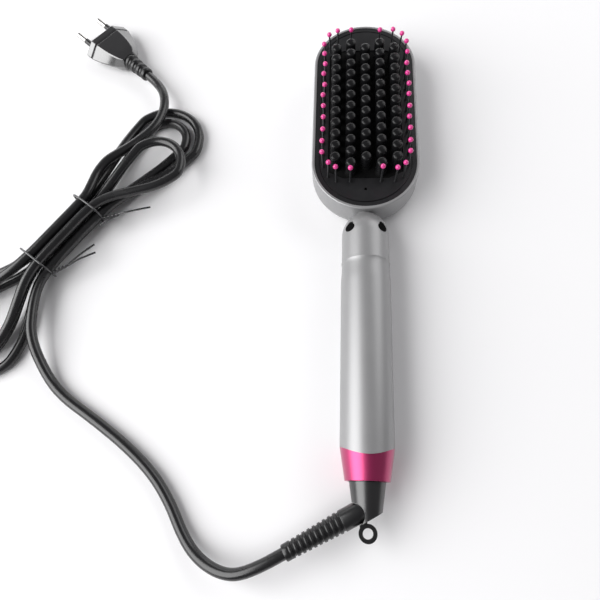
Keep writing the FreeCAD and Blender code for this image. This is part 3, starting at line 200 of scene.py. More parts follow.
class Finish:
    """A material in the making: one Principled shader and the nodes that feed it."""

    def __init__(self, name, **constants):
        self.material = bpy.data.materials.new(name)
        self.material.use_nodes = True
        self.tree = self.material.node_tree
        self.tree.nodes.clear()
        self.shader = self.node("ShaderNodeBsdfPrincipled", {}, {})
        output = self.node("ShaderNodeOutputMaterial", {}, {})
        self.tree.links.new(self.shader.outputs[0], output.inputs["Surface"])
        self.place = self.node("ShaderNodeTexCoord", {}, {}).outputs["Object"]
        for socket, constant in constants.items():
            self.feed(socket, constant)

    def node(self, kind, settings, inputs):
        made = self.tree.nodes.new(kind)
        for setting, setting_value in settings.items():
            setattr(made, setting, setting_value)
        for socket, given in inputs.items():
            self.join(made.inputs[socket], given)
        return made

    def join(self, socket, given):
        if isinstance(given, Value):
            given = given.socket
        if isinstance(given, bpy.types.NodeSocket):
            self.tree.links.new(given, socket)
        else:
            socket.default_value = given

    def feed(self, socket, given):
        """Sets or links one of the shader's sockets; an underscore in its name stands for a space."""
        self.join(self.shader.inputs[socket.replace("_", " ")], given)

    def noise(self, scale, detail=2.0, roughness=0.5, stretch=(1, 1, 1)):
        place = self.place
        if stretch != (1, 1, 1):
            place = self.node("ShaderNodeMapping", {}, {"Vector": self.place, "Scale": stretch}).outputs[0]
        inputs = {"Vector": place, "Scale": scale, "Detail": detail, "Roughness": roughness}
        made = self.node("ShaderNodeTexNoise", {}, inputs)
        return Value(self, made.outputs[0])

    def height(self):
        made = self.node("ShaderNodeSeparateXYZ", {}, {"Vector": self.place})
        return Value(self, made.outputs["Z"])

    def mix(self, share, first, second):
        """A colour between two, by a share."""
        made = self.node("ShaderNodeMix", {"data_type": "RGBA"}, {"Factor": share})
        for socket, colour in zip(MIX_COLOURS, (first, second)):
            self.join(made.inputs[socket], colour + (1.0,))
        return made.outputs[MIX_RESULT]

    def tone(self, share, colour, low, high):
        """Feeds the base colour with one that varies between two shades."""
        self.feed("Base_Color", self.mix(share, shade(colour, low), shade(colour, high)))

    def bump(self, height, strength, distance):
        inputs = {"Strength": strength, "Distance": distance, "Height": height}
        made = self.node("ShaderNodeBump", {}, inputs)
        self.join(self.shader.inputs["Normal"], made.outputs[0])


def shade(colour, factor):
    return tuple(min(1.0, part * factor) for part in colour)


def satin_silver():
    """Silver paint with fine flakes and a soft sheen."""
    finish = Finish("satin_silver", Metallic=0.55, Coat_Weight=0.12, Coat_Roughness=0.35)
    flakes = finish.noise(5200, 1.0)
    clouds = finish.noise(38, 3.0)
    share = flakes * 0.7 + clouds * 0.3
    finish.tone(share, colours().silver, 0.84, 1.16)
    finish.feed("Roughness", 0.36 + flakes * 0.08 + clouds * 0.06)
    finish.bump(flakes, 0.06, 0.02 * MM)
    return finish.material


def black_moulding(name, roughness, colour, sheen=0.5, polish=0.0):
    """Black moulded plastic with a fine grain and a little dust in its sheen."""
    finish = Finish(name, Specular_IOR_Level=sheen, Coat_Weight=polish, Coat_IOR=1.9,
                    Coat_Roughness=roughness)
    grain = finish.noise(2600, 2.0)
    dust = finish.noise(150, 4.0, 0.6)
    finish.tone(dust, colour, 0.75, 1.5)
    finish.feed("Roughness", roughness - 0.05 + dust * 0.1)
    finish.bump(grain, 0.08, 0.03 * MM)
    return finish.material


def nub_black():
    """Black nubs that are duller down between them and darker there with painted shade."""
    finish = Finish("nub_black", Specular_IOR_Level=0.25)
    grain = finish.noise(2600, 2.0)
    # Painted shade: the base colour darkens down the nubs towards the field between them, and the
    # roughness rises the same way
    painted_shade_below = 1 * MM
    painted_shade_depth = 2.5 * MM
    rise = ((finish.height() - PLATE_TOP - painted_shade_below) * (1 / painted_shade_depth)).capped(1.0)
    finish.tone(rise, colours().black, 0.1, 0.7)
    finish.feed("Roughness", 0.8 - rise * 0.54)
    finish.bump(grain, 0.08, 0.03 * MM)
    return finish.material


def glossy_pink():
    """Bright pink nylon, a little deeper in places."""
    finish = Finish("glossy_pink", Coat_Weight=0.4, Coat_Roughness=0.1, Subsurface_Weight=0.08,
                    Subsurface_Scale=0.6 * MM)
    depth = finish.noise(420, 2.0)
    finish.tone(depth, colours().pink, 0.85, 1.12)
    finish.feed("Roughness", 0.24 + depth * 0.08)
    return finish.material


def clear_pink():
    """Translucent pink plastic with a polished skin."""
    finish = Finish("clear_pink", Metallic=0.95, Coat_Weight=1.0, Coat_Roughness=0.36, Coat_IOR=1.66)
    depth = finish.noise(90, 3.0)
    finish.tone(depth, colours().collar, 0.9, 1.1)
    finish.feed("Roughness", 0.37 + depth * 0.06)
    return finish.material


def cord_rubber():
    """Matte black cord jacket with faint scuffs."""
    finish = Finish("cord_rubber", Specular_IOR_Level=0.65)
    grain = finish.noise(1900, 2.0)
    scuffs = finish.noise(70, 5.0, 0.65)
    finish.tone(scuffs, colours().rubber, 0.8, 1.9)
    finish.feed("Roughness", 0.22 + scuffs * 0.1)
    finish.bump(grain, 0.12, 0.03 * MM)
    return finish.material


def plain_metal(name, colour, roughness):
    """Bright metal with fine draw lines."""
    finish = Finish(name, Metallic=1.0)
    lines = finish.noise(900, 3.0, 0.6, (1, 0.08, 1))
    finish.tone(lines, colour, 0.86, 1.08)
    finish.feed("Roughness", roughness - 0.05 + lines * 0.12)
    return finish.material


def inner_moulding(name, colour, roughness):
    """Inner piece with a cloudy moulded tone."""
    finish = Finish(name)
    clouds = finish.noise(260, 3.0)
    finish.tone(clouds, colour, 0.85, 1.15)
    finish.feed("Roughness", roughness - 0.05 + clouds * 0.1)
    return finish.material


def smoked_window():
    """Dark clear pane."""
    finish = Finish("smoked_window", Coat_Weight=0.6, Coat_Roughness=0.04)
    haze = finish.noise(320, 2.0)
    finish.feed("Base_Color", finish.mix(haze, (0.008, 0.008, 0.010), (0.016, 0.016, 0.02)))
    finish.feed("Roughness", 0.08 + haze * 0.06)
    return finish.material


FINISHES = {}


def finish_of(name):
    """Makes each finish once."""
    makers = {
        "satin_silver": satin_silver,
        "plate_black": lambda: black_moulding("plate_black", 0.3, colours().black),
        "nub_black": nub_black,
        # The ports' finish, a fifth of the black with little sheen, is painted shade inside the holes
        "port_painted_shade": lambda: black_moulding("port_painted_shade", 0.8, shade(colours().black, 0.2), 0.06),
        "stem_black": lambda: black_moulding("stem_black", 0.36, shade(colours().black, 1.6)),
        "elbow_black": lambda: black_moulding("elbow_black", 0.31, colours().elbow, 0.85, 0.15),
        "relief_black": lambda: black_moulding("relief_black", 0.3, colours().rubber, 0.6),
        "plug_black": lambda: black_moulding("plug_black", 0.2, colours().rubber, 0.95, 0.8),
        "tie_grey": lambda: black_moulding("tie_grey", 0.24, shade(colours().rubber, 4), 1.0),
        "glossy_pink": glossy_pink,
        "clear_pink": clear_pink,
        "cord_rubber": cord_rubber,
        "smoked_window": smoked_window,
        "nickel": lambda: plain_metal("nickel", (0.7, 0.69, 0.67), 0.14),
        "steel": lambda: plain_metal("steel", (0.6, 0.6, 0.61), 0.3),
        "brass": lambda: plain_metal("brass", (0.72, 0.5, 0.2), 0.3),
        "inner_grey": lambda: inner_moulding("inner_grey", (0.05, 0.05, 0.052), 0.5),
        "board_green": lambda: inner_moulding("board_green", (0.01, 0.06, 0.025), 0.4),
        "ceramic": lambda: inner_moulding("ceramic", (0.7, 0.68, 0.62), 0.5),
        "mica": lambda: inner_moulding("mica", (0.4, 0.34, 0.22), 0.45),
    }
    if name not in FINISHES:
        FINISHES[name] = makers[name]()
    return FINISHES[name]


def dress(node, finish):
    """Gives a solid its finish."""
    solid = NODES[node].data
    solid.materials.clear()
    solid.materials.append(finish_of(finish))


def piece_from(name, shape, finish, body):
    """Turns a bmesh into a finished piece that rides on a body."""
    mesh = bpy.data.meshes.new(name)
    shape.to_mesh(mesh)
    shape.free()
    mesh.materials.append(finish_of(finish))
    piece = bpy.data.objects.new(name, mesh)
    bpy.context.scene.collection.objects.link(piece)
    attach(piece, body)
    return piece


def smooth(piece, degrees=40):
    """Smooth shading that keeps the sharper edges."""
    for face in piece.data.polygons:
        face.use_smooth = True
    piece.data.set_sharp_from_angle(angle=math.radians(degrees))


def turned(profile, segments):
    """A closed form turned about Z from (radius, height) points, the first and last on the axis."""
    shape = bmesh.new()
    points = [shape.verts.new((radius, 0, height)) for radius, height in profile]
    edges = [shape.edges.new(pair) for pair in zip(points, points[1:])]
    bmesh.ops.spin(shape, geom=points + edges, cent=(0, 0, 0), axis=(0, 0, 1), angle=2 * math.pi,
                   steps=segments, use_merge=True)
    bmesh.ops.remove_doubles(shape, verts=shape.verts[:], dist=1e-6)
    bmesh.ops.recalc_face_normals(shape, faces=shape.faces[:])
    return shape


def add_copies(target, source, matrices):
    """Adds copies of a small form to a larger bmesh."""
    pattern = bpy.data.meshes.new("pattern")
    source.to_mesh(pattern)
    source.free()
    for matrix in matrices:
        known = len(target.verts)
        target.from_mesh(pattern)
        target.verts.ensure_lookup_table()
        bmesh.ops.transform(target, matrix=matrix, verts=target.verts[known:])
    bpy.data.meshes.remove(pattern)


class StageOperator(bpy.types.Operator):
    """Sets the table, the lamps and the camera"""
    bl_idname = "styling_brush.stage"
    bl_label = "Stage"

    def execute(self, context):
        stage = context.scene.brush_stage
        self.table(stage)
        self.lamps(stage)
        self.camera(stage)
        context.scene.view_settings.view_transform = "Standard"
        return {"FINISHED"}

    def table(self, stage):
        half_width = 4.0
        drop = 0.2 * MM
        shape = bmesh.new()
        bmesh.ops.create_grid(shape, x_segments=1, y_segments=1, size=half_width)
        bmesh.ops.translate(shape, verts=shape.verts[:], vec=(0, 0, -drop))
        mesh = bpy.data.meshes.new("table")
        shape.to_mesh(mesh)
        shape.free()
        finish = Finish("table", Roughness=0.7, Specular_IOR_Level=0.15)
        clouds = finish.noise(2.2, 2.0)
        finish.tone(clouds, stage.floor_colour, 0.985, 1.015)
        mesh.materials.append(finish.material)
        table = bpy.data.objects.new("table", mesh)
        bpy.context.scene.collection.objects.link(table)

    def lamp(self, name, place, aim, power, width, depth):
        light = bpy.data.lights.new(name, "AREA")
        light.shape = "RECTANGLE"
        light.size = width
        light.size_y = depth
        light.energy = power
        holder = bpy.data.objects.new(name, light)
        holder.location = place
        direction = Vector(aim) - Vector(place)
        holder.rotation_euler = direction.to_track_quat("-Z", "Y").to_euler()
        bpy.context.scene.collection.objects.link(holder)

    def lamps(self, stage):
        self.lamp("key", (-1.28, -0.35, 0.96), (0, 0, 0), stage.key_power, 2.1, 1.63)
        self.lamp("fill", (0.77, 0.65, 0.65), (0, 0, 0), stage.fill_power, 1.2, 0.8)
        self.lamp("far", (-0.5, 1.6, 0.36), (0, 0.1, 0), stage.far_power, 2.4, 0.5)
        world = bpy.data.worlds.new("room")
        world.use_nodes = True
        background = world.node_tree.nodes["Background"]
        background.inputs["Color"].default_value = (0.98, 0.965, 1.0, 1.0)
        background.inputs["Strength"].default_value = stage.sky_strength
        bpy.context.scene.world = world

    def camera(self, stage):
        tilt = stage.camera_tilt
        ahead = Vector((0, math.sin(tilt), -math.cos(tilt)))
        above = Vector((0, math.cos(tilt), math.sin(tilt)))
        turn = Matrix.Rotation(stage.camera_turn, 3, "Z")
        ahead = turn @ ahead
        above = turn @ above
        aside = turn @ Vector((1, 0, 0))
        roll = stage.camera_roll
        right = aside * math.cos(roll) + above * math.sin(roll)
        upward = above * math.cos(roll) - aside * math.sin(roll)
        view = bpy.data.cameras.new("camera")
        view.sensor_width = 36.0
        view.lens = view.sensor_width * stage.focal_pixels / FRAME_PIXELS
        view.clip_start = 0.01
        holder = bpy.data.objects.new("camera", view)
        columns = Matrix((right, upward, -ahead)).transposed()
        holder.matrix_world = Matrix.Translation(Vector(stage.camera_place)) @ columns.to_4x4()
        bpy.context.scene.collection.objects.link(holder)
        bpy.context.scene.camera = holder


# The cord's route, with the free run and the plug's tail in millimetres
# The hank has its own frame, along and across its waist
EXIT_ANGLE = math.radians(180 + 29)
EXIT_WAY = Vector((math.cos(EXIT_ANGLE), math.sin(EXIT_ANGLE), 0))
EXIT_PLACE = Vector((-6.1 * MM, COLLAR_END - 15.2 * MM, HANDLE_HEIGHT))
RELIEF_LENGTH = 39 * MM
FREE_ROUTE = ((-62, -174.6, 12.2), (-70.6, -174.5, 9.6), (-79.8, -171.2, 6.8), (-88, -165.1, 4.7),
              (-94.6, -156.4, 3.5), (-101.9, -143.3, 3.15), (-112.5, -129.5, 3.1), (-129, -115.5, 3.1),
              (-150, -101.5, 3.1), (-170, -89.5, 3.15), (-182.3, -77, 3.6))
TAIL_ROUTE = ((-152, 69.4, 14.4), (-146.8, 75.7, 12.8), (-137.5, 87, 11.6), (-133.2, 100.3, 10.6),
              (-134.2, 114.3, 9.6))
PLUG_TAIL = Vector((-150.0, 135.6, 7.2)) * MM
PLUG_ANGLE = math.radians(138)
PLUG_WAY = Vector((math.cos(PLUG_ANGLE), math.sin(PLUG_ANGLE), 0))
HANK_MIDDLE = Vector((-184.2, 8.5, 0)) * MM
HANK_ANGLE = math.radians(55.1)
HANK_PITCH = 7.2 * MM
HANK_LAYER = 6.1 * MM
REST_HEIGHT = 3.1 * MM
LOW_HEIGHT = 4.5 * MM
MIDDLE_HEIGHT = LOW_HEIGHT + HANK_LAYER
TOP_HEIGHT = MIDDLE_HEIGHT + HANK_LAYER
WAIST = 23 * MM
UPPER = WAIST + 68 * MM
UPPER_RADIUS = 23 * MM
UPPER_INSET = 8.7 * MM
LOWER = -WAIST - 50 * MM
LOWER_RADIUS = 31 * MM
LOWER_INSET = 13 * MM
LOWER_SHIFT = 4 * MM
FRONT = WAIST + 46.5 * MM
FRONT_RADIUS = 16.5 * MM
FRONT_HEIGHT = 16.2 * MM
LAST_RADIUS = 18 * MM
LAST_HEIGHT = 9.9 * MM
TAIL_RUN = 26 * MM
TAIL_STRAIGHT = 6 * MM
TAIL_SIDE = 11 * MM
ENTRY_TURN = math.radians(42)
ENTRY_RADIUS = 45 * MM
ENTRY_END = -15 * MM
TURN_STEPS = 6


def in_hank(along, across, height):
    """A place in the hank's frame, as a place in the brush's."""
    turned_place = Matrix.Rotation(HANK_ANGLE, 3, "Z") @ Vector((along, across, 0))
    return HANK_MIDDLE + turned_place + Vector((0, 0, height))


class HankRoute:
    """Control points of the hank: straights, double bends and half turns."""

    def __init__(self):
        self.points = []

    def go(self, along, across, height):
        self.points.append((along, across, height))

    def bend_to(self, along, across, height):
        """An eased double bend to a new place."""
        start = self.points[-1]
        for share in (0.25, 0.5, 0.75):
            eased = share * share * (3 - 2 * share)
            self.go(start[0] + (along - start[0]) * share, start[1] + (across - start[1]) * eased,
                    start[2] + (height - start[2]) * eased)
        self.go(along, across, height)

    def half_turn(self, centre, side):
        """A half turn whose control points stand outside it, so that the cord keeps its radius."""
        along, across, height = self.points[-1]
        radius = across - centre
        step = math.pi / TURN_STEPS
        for number in range(TURN_STEPS):
            angle = (number + 0.5) * step
            reach = radius / math.cos(step / 2)
            self.go(along + side * abs(reach) * math.sin(angle), centre + reach * math.cos(angle), height)
        self.go(along, centre - radius, height)


def hank_points():
    """The hank from its entry to where the cord leaves for the plug."""
    half = HANK_PITCH / 2
    route = HankRoute()
    for share in (1.0, 0.66, 0.33, 0.0):
        angle = ENTRY_TURN * share
        across = -HANK_PITCH - ENTRY_RADIUS * (1 - math.cos(angle))
        route.go(ENTRY_END - ENTRY_RADIUS * math.sin(angle), across, MIDDLE_HEIGHT)
    turns = ((HANK_PITCH, MIDDLE_HEIGHT, 0, 0), (half, LOW_HEIGHT, UPPER_INSET, LOWER_INSET))
    for row, height, inset, low_inset in turns:
        route.go(WAIST, -row, height)
        route.bend_to(UPPER, inset - UPPER_RADIUS, REST_HEIGHT)
        route.half_turn(0, 1)
        route.bend_to(WAIST, row, height)
        route.go(0, row, height)
        route.go(-WAIST, row, height)
        route.bend_to(LOWER, LOWER_SHIFT + LOWER_RADIUS - low_inset, REST_HEIGHT)
        route.half_turn(LOWER_SHIFT, -1)
        if inset:
            route.bend_to(-WAIST, 0, MIDDLE_HEIGHT)
            route.go(0, 0, MIDDLE_HEIGHT)
        else:
            route.bend_to(-WAIST, -half, LOW_HEIGHT)
            route.go(0, -half, LOW_HEIGHT)
    route.go(WAIST, 0, MIDDLE_HEIGHT)
    route.bend_to(FRONT, half / 4, FRONT_HEIGHT)
    route.half_turn(half / 4 - FRONT_RADIUS, 1)
    route.bend_to(WAIST, -half, TOP_HEIGHT)
    route.go(0, -half, TOP_HEIGHT)
    route.go(-WAIST, -half, TOP_HEIGHT)
    route.bend_to(LOWER, -LAST_RADIUS, LAST_HEIGHT)
    route.half_turn(0, -1)
    route.bend_to(-WAIST, half, TOP_HEIGHT)
    route.go(0, half, TOP_HEIGHT)
    route.go(WAIST, half, TOP_HEIGHT)
    route.bend_to(WAIST + TAIL_RUN, TAIL_SIDE, TOP_HEIGHT)
    route.go(WAIST + TAIL_RUN + TAIL_STRAIGHT, TAIL_SIDE, TOP_HEIGHT)
    return [in_hank(*point) for point in route.points]


def cord_points():
    """Control points of the whole cord, from inside the strain relief to the plug's tail."""
    lead = 12 * MM
    entry_lead = 18 * MM
    in_boot = 3 * MM
    points = [EXIT_PLACE + EXIT_WAY * (RELIEF_LENGTH * 0.4), EXIT_PLACE + EXIT_WAY * RELIEF_LENGTH]
    points.append(points[-1] + EXIT_WAY * lead)
    points += [Vector(point) * MM for point in FREE_ROUTE]
    hank = hank_points()
    entry = Vector((math.cos(HANK_ANGLE + ENTRY_TURN), math.sin(HANK_ANGLE + ENTRY_TURN), 0))
    points.append(hank[0] - entry * entry_lead)
    points += hank
    points += [Vector(point) * MM for point in TAIL_ROUTE]
    points += [PLUG_TAIL - PLUG_WAY * lead, PLUG_TAIL + PLUG_WAY * in_boot]
    return points


def spline_through(curve, points, width, cyclic=False):
    """A smooth spline of a width with these control points."""
    spline = curve.splines.new("NURBS")
    spline.points.add(len(points) - 1)
    for target, point in zip(spline.points, points):
        target.co = (point[0], point[1], point[2], 1.0)
        target.radius = width / 2
    spline.order_u = 3
    spline.use_endpoint_u = not cyclic
    spline.use_cyclic_u = cyclic
    return spline


def curve_piece(name, finish, body, resolution=6):
    """An empty tube; the width comes with its splines."""
    curve = bpy.data.curves.new(name, "CURVE")
    curve.dimensions = "3D"
    curve.bevel_depth = 1.0
    curve.bevel_resolution = 4
    curve.use_fill_caps = True
    curve.resolution_u = resolution
    curve.materials.append(finish_of(finish))
    piece = bpy.data.objects.new(name, curve)
    bpy.context.scene.collection.objects.link(piece)
    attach(piece, body)
    return piece


class CordOperator(bpy.types.Operator):
    """Lays the mains cord from the strain relief through its hank to the plug"""
    bl_idname = "styling_brush.cord"
    bl_label = "Cord"

    def execute(self, context):
        points = cord_points()
        cord = curve_piece("cord", "cord_rubber", SWIVEL_BODY)
        spline = spline_through(cord.data, points, sizes().cord_width)
        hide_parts("cord_free", "cord_hank", "cord_plug_tail")
        made_here = ("strain_relief_ribs", "twist_tie_wires", "plug_grip", "plug_boot")
        parts = [bpy.data.objects[name] for name in made_here]
        parts += [NODES["plug_pins"], NODES["pin_sleeves"]]
        return {"FINISHED"}


def turned_to(shape, place, way):
    """Lays a form that was turned about Z along a way, with its foot at a place."""
    turn = way.to_track_quat("Z", "Y").to_matrix().to_4x4()
    bmesh.ops.transform(shape, matrix=Matrix.Translation(place) @ turn, verts=shape.verts[:])
    return shape


# A groove and its rib, as shares of the pitch and of the groove's depth
RIB_OUTLINE = ((0.05, 0.7), (0.1, 1.0), (0.4, 1.0), (0.45, 0.7), (0.48, 0.2), (0.53, 0.0), (0.95, 0.0),
               (1.0, 0.2))


def rib_profile(start, end, first, last, count, depth):
    """Rounded ribs between two radii, as (radius, height) points."""
    profile = []
    pitch = (end - start) / count
    for number in range(count):
        radius = first + (last - first) * (number + 0.5) / count
        foot = start + number * pitch
        for share, sink in RIB_OUTLINE:
            profile.append((radius - depth * sink, foot + pitch * share))
    return profile


class ReliefOperator(bpy.types.Operator):
    """Makes the ribbed strain relief at the elbow"""
    bl_idname = "styling_brush.relief"
    bl_label = "Strain Relief"
    pocket: FloatProperty(
        name="Pocket", description="Radius of its upright seat", unit="LENGTH", default=5.8 * MM)
    pocket_shift: FloatProperty(
        name="Pocket Shift", description="Seat's middle from the elbow's end", unit="LENGTH",
        default=1.7 * MM)

    def execute(self, context):
        root = 5.3 * MM
        tip = 4.2 * MM
        foot = -2 * MM
        start = 7.4 * MM
        end = 36 * MM
        ribs = 10
        groove = 0.6 * MM
        seat_gap = 0.1 * MM
        profile = [(0, foot), (root * 0.96, foot), (root, -1.8 * MM)]
        profile += [(root, start - 0.3 * MM), (root * 0.98, start)]
        profile += rib_profile(start, end, root, tip, ribs, groove)
        profile += [(tip, 36.3 * MM), (tip, 38.6 * MM), (tip * 0.93, RELIEF_LENGTH), (0, RELIEF_LENGTH)]
        shape = turned(profile, 40)
        for vert in shape.verts[:]:
            if vert.co.z < 0:
                inward = math.sqrt(self.pocket ** 2 - vert.co.x ** 2) - self.pocket_shift
                bmesh.ops.translate(shape, verts=[vert], vec=(0, 0, seat_gap - inward - vert.co.z))
        shape = turned_to(shape, EXIT_PLACE, EXIT_WAY)
        relief = piece_from("strain_relief_ribs", shape, "relief_black", SWIVEL_BODY)
        smooth(relief, 50)
        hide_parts("strain_relief")
        return {"FINISHED"}


class TiesOperator(bpy.types.Operator):
    """Makes the two twist ties round the hank"""
    bl_idname = "styling_brush.ties"
    bl_label = "Twist Ties"
    wire: FloatProperty(
        name="Wire", description="Thickness of the tie's wire", unit="LENGTH", default=1.2 * MM)

    def execute(self, context):
        ties = curve_piece("twist_tie_wires", "tie_grey", SWIVEL_BODY, 4)
        place = 22.54 * MM
        self.tie(ties.data, place, 10.6 * MM, 50, ((51, 20), (-112, 13)))
        self.tie(ties.data, -place, 11.3 * MM, 68, ((80, 20), (64, 18)))
        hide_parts("twist_ties")
        return {"FINISHED"}

    def tie(self, curve, along, girth, lean, tails):
        """A ring round the bundle, then a twisted stub that leans along it and two loose tails.

        The lean and each tail's way are in degrees, and a tail's reach is in millimetres.
        """
        ring_points = 16
        stub = 10 * MM
        stub_steps = 14
        twist_step = 0.9
        strand_offset = 0.62 * MM
        gap = 0.45 * MM + self.wire / 2
        side = girth + gap
        low = self.wire / 2 + 0.1 * MM
        high = TOP_HEIGHT + sizes().cord_width / 2 + gap
        ring = []
        for number in range(ring_points):
            angle = 2 * math.pi * number / ring_points
            across = self.squared(math.cos(angle))
            up = self.squared(math.sin(angle))
            ring.append(in_hank(along, side * across, (low + high) / 2 + (high - low) / 2 * up))
        spline_through(curve, ring, self.wire, True)
        foot = in_hank(along, -side, (low + high) / 2)
        way = self.from_side(lean)
        aside = UPWARD.cross(way)
        for strand, (angle, reach) in enumerate(tails):
            points = []
            for number in range(stub_steps + 1):
                twist = math.pi * strand + number * twist_step
                offset = aside * math.cos(twist) + UPWARD * math.sin(twist)
                points.append(foot + way * (number / stub_steps * stub) + offset * strand_offset)
            end = foot + way * stub
            heading = self.from_side(angle)
            for share, rise in ((0.3, 0.5), (0.65, 0.3), (1.0, -0.6)):
                points.append(end + heading * (reach * share * MM) + UPWARD * (rise * MM))
            spline_through(curve, points, self.wire)

    def squared(self, part):
        """Draws a ring's share out towards the corners of its box."""
        fullness = 0.68
        return math.copysign(abs(part) ** fullness, part)

    def from_side(self, degrees):
        """A level way that is measured from straight out of the hank's side."""
        angle = math.radians(degrees)
        return Matrix.Rotation(HANK_ANGLE, 3, "Z") @ Vector((math.sin(angle), -math.cos(angle), 0))


def ringed(shape, corners):
    """A closed ring of edges through corners."""
    verts = [shape.verts.new(corner) for corner in corners]
    return [shape.edges.new(pair) for pair in zip(verts, verts[1:] + verts[:1])]


class PlugOperator(bpy.types.Operator):
    """Makes the two-pin plug's grip and its ribbed boot"""
    bl_idname = "styling_brush.plug"
    bl_label = "Plug"
    width: FloatProperty(
        name="Width", description="Widest part of the grip", unit="LENGTH", default=35 * MM)
    height: FloatProperty(
        name="Height", description="Thickness of the grip", unit="LENGTH", default=14 * MM)
    boot_length: FloatProperty(
        name="Boot", description="Length of the ribbed boot", unit="LENGTH", default=18.8 * MM)
    grip_length: FloatProperty(
        name="Grip", description="Length of the grip", unit="LENGTH", default=29.7 * MM)

    def execute(self, context):
        self.grip()
        self.boot()
        dress("plug_pins", "nickel")
        dress("pin_sleeves", "relief_black")
        return {"FINISHED"}

    def hexagon(self, shape, distance, share, height):
        """A six-sided ring across the plug's way, with fuller edges where it is narrow."""
        wide = self.width / 2 * share
        flat = wide * (0.9 - 0.36 * share)
        half = height / 2
        corners = ((wide, 0), (flat, half), (-flat, half), (-wide, 0), (-flat, -half), (flat, -half))
        return ringed(shape, [(across, up, distance) for across, up in corners])

    def stations(self):
        """Rings from the boot to the pins' face, as (distance, share of the width, height)."""
        start = self.boot_length
        end = start + self.grip_length
        slab = end - 5 * MM
        groove = slab - 1.3 * MM
        slope = 0.2 * MM
        sink = 2.6 * MM
        tail_height = 10 * MM
        flare = ((0.17, 0.55), (0.34, 0.68), (0.5, 0.785), (0.67, 0.87), (0.84, 0.94), (1.0, 1.0))
        rows = [(start, 0.345, tail_height)]
        for along, share in flare:
            height = tail_height + (self.height - tail_height) * share
            rows.append((start + (groove - start) * along, share, height))
        sunk = (1 - sink / self.width, self.height - sink)
        rows += [(groove + slope, *sunk), (slab - slope, *sunk)]
        rows += [(slab, 1.0, self.height), (end, 1.0, self.height)]
        return rows

    def grip(self):
        """The grip, bridged from ring to ring, with its edges rounded."""
        shape = bmesh.new()
        rings = [self.hexagon(shape, *station) for station in self.stations()]
        for first, second in zip(rings, rings[1:]):
            bmesh.ops.bridge_loops(shape, edges=first + second)
        for ring in (rings[0], rings[-1]):
            bmesh.ops.contextual_create(shape, geom=ring)
        bmesh.ops.recalc_face_normals(shape, faces=shape.faces[:])
        least = math.radians(24)
        sharp = [edge for edge in shape.edges if edge.is_manifold and edge.calc_face_angle() > least]
        bmesh.ops.bevel(shape, geom=sharp, offset=0.7 * MM, affect="EDGES", segments=3, profile=0.5,
                        material=-1)
        turn = Matrix((UPWARD.cross(PLUG_WAY), UPWARD, PLUG_WAY)).transposed().to_4x4()
        bmesh.ops.transform(shape, matrix=Matrix.Translation(PLUG_TAIL) @ turn, verts=shape.verts[:])
        bmesh.ops.recalc_face_normals(shape, faces=shape.faces[:])
        grip = piece_from("plug_grip", shape, "plug_black", SWIVEL_BODY)
        smooth(grip, 30)
        grip.modifiers.new("flat_sides", "WEIGHTED_NORMAL")
        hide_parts("plug_body")

    def boot(self):
        """The ribbed boot between the cord and the grip."""
        tip = 4.5 * MM
        root = 5.5 * MM
        ribs_start = 3 * MM
        ribs = 3
        groove = 0.9 * MM
        profile = [(0, 0), (tip * 0.92, 0), (tip, 0.5 * MM), (tip, 2.6 * MM)]
        profile += rib_profile(ribs_start, self.boot_length, tip, root, ribs, groove)
        profile += [(root, self.boot_length), (0, self.boot_length)]
        shape = turned_to(turned(profile, 36), PLUG_TAIL, PLUG_WAY)
        boot = piece_from("plug_boot", shape, "relief_black", SWIVEL_BODY)
        smooth(boot, 50)
        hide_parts("plug_relief")


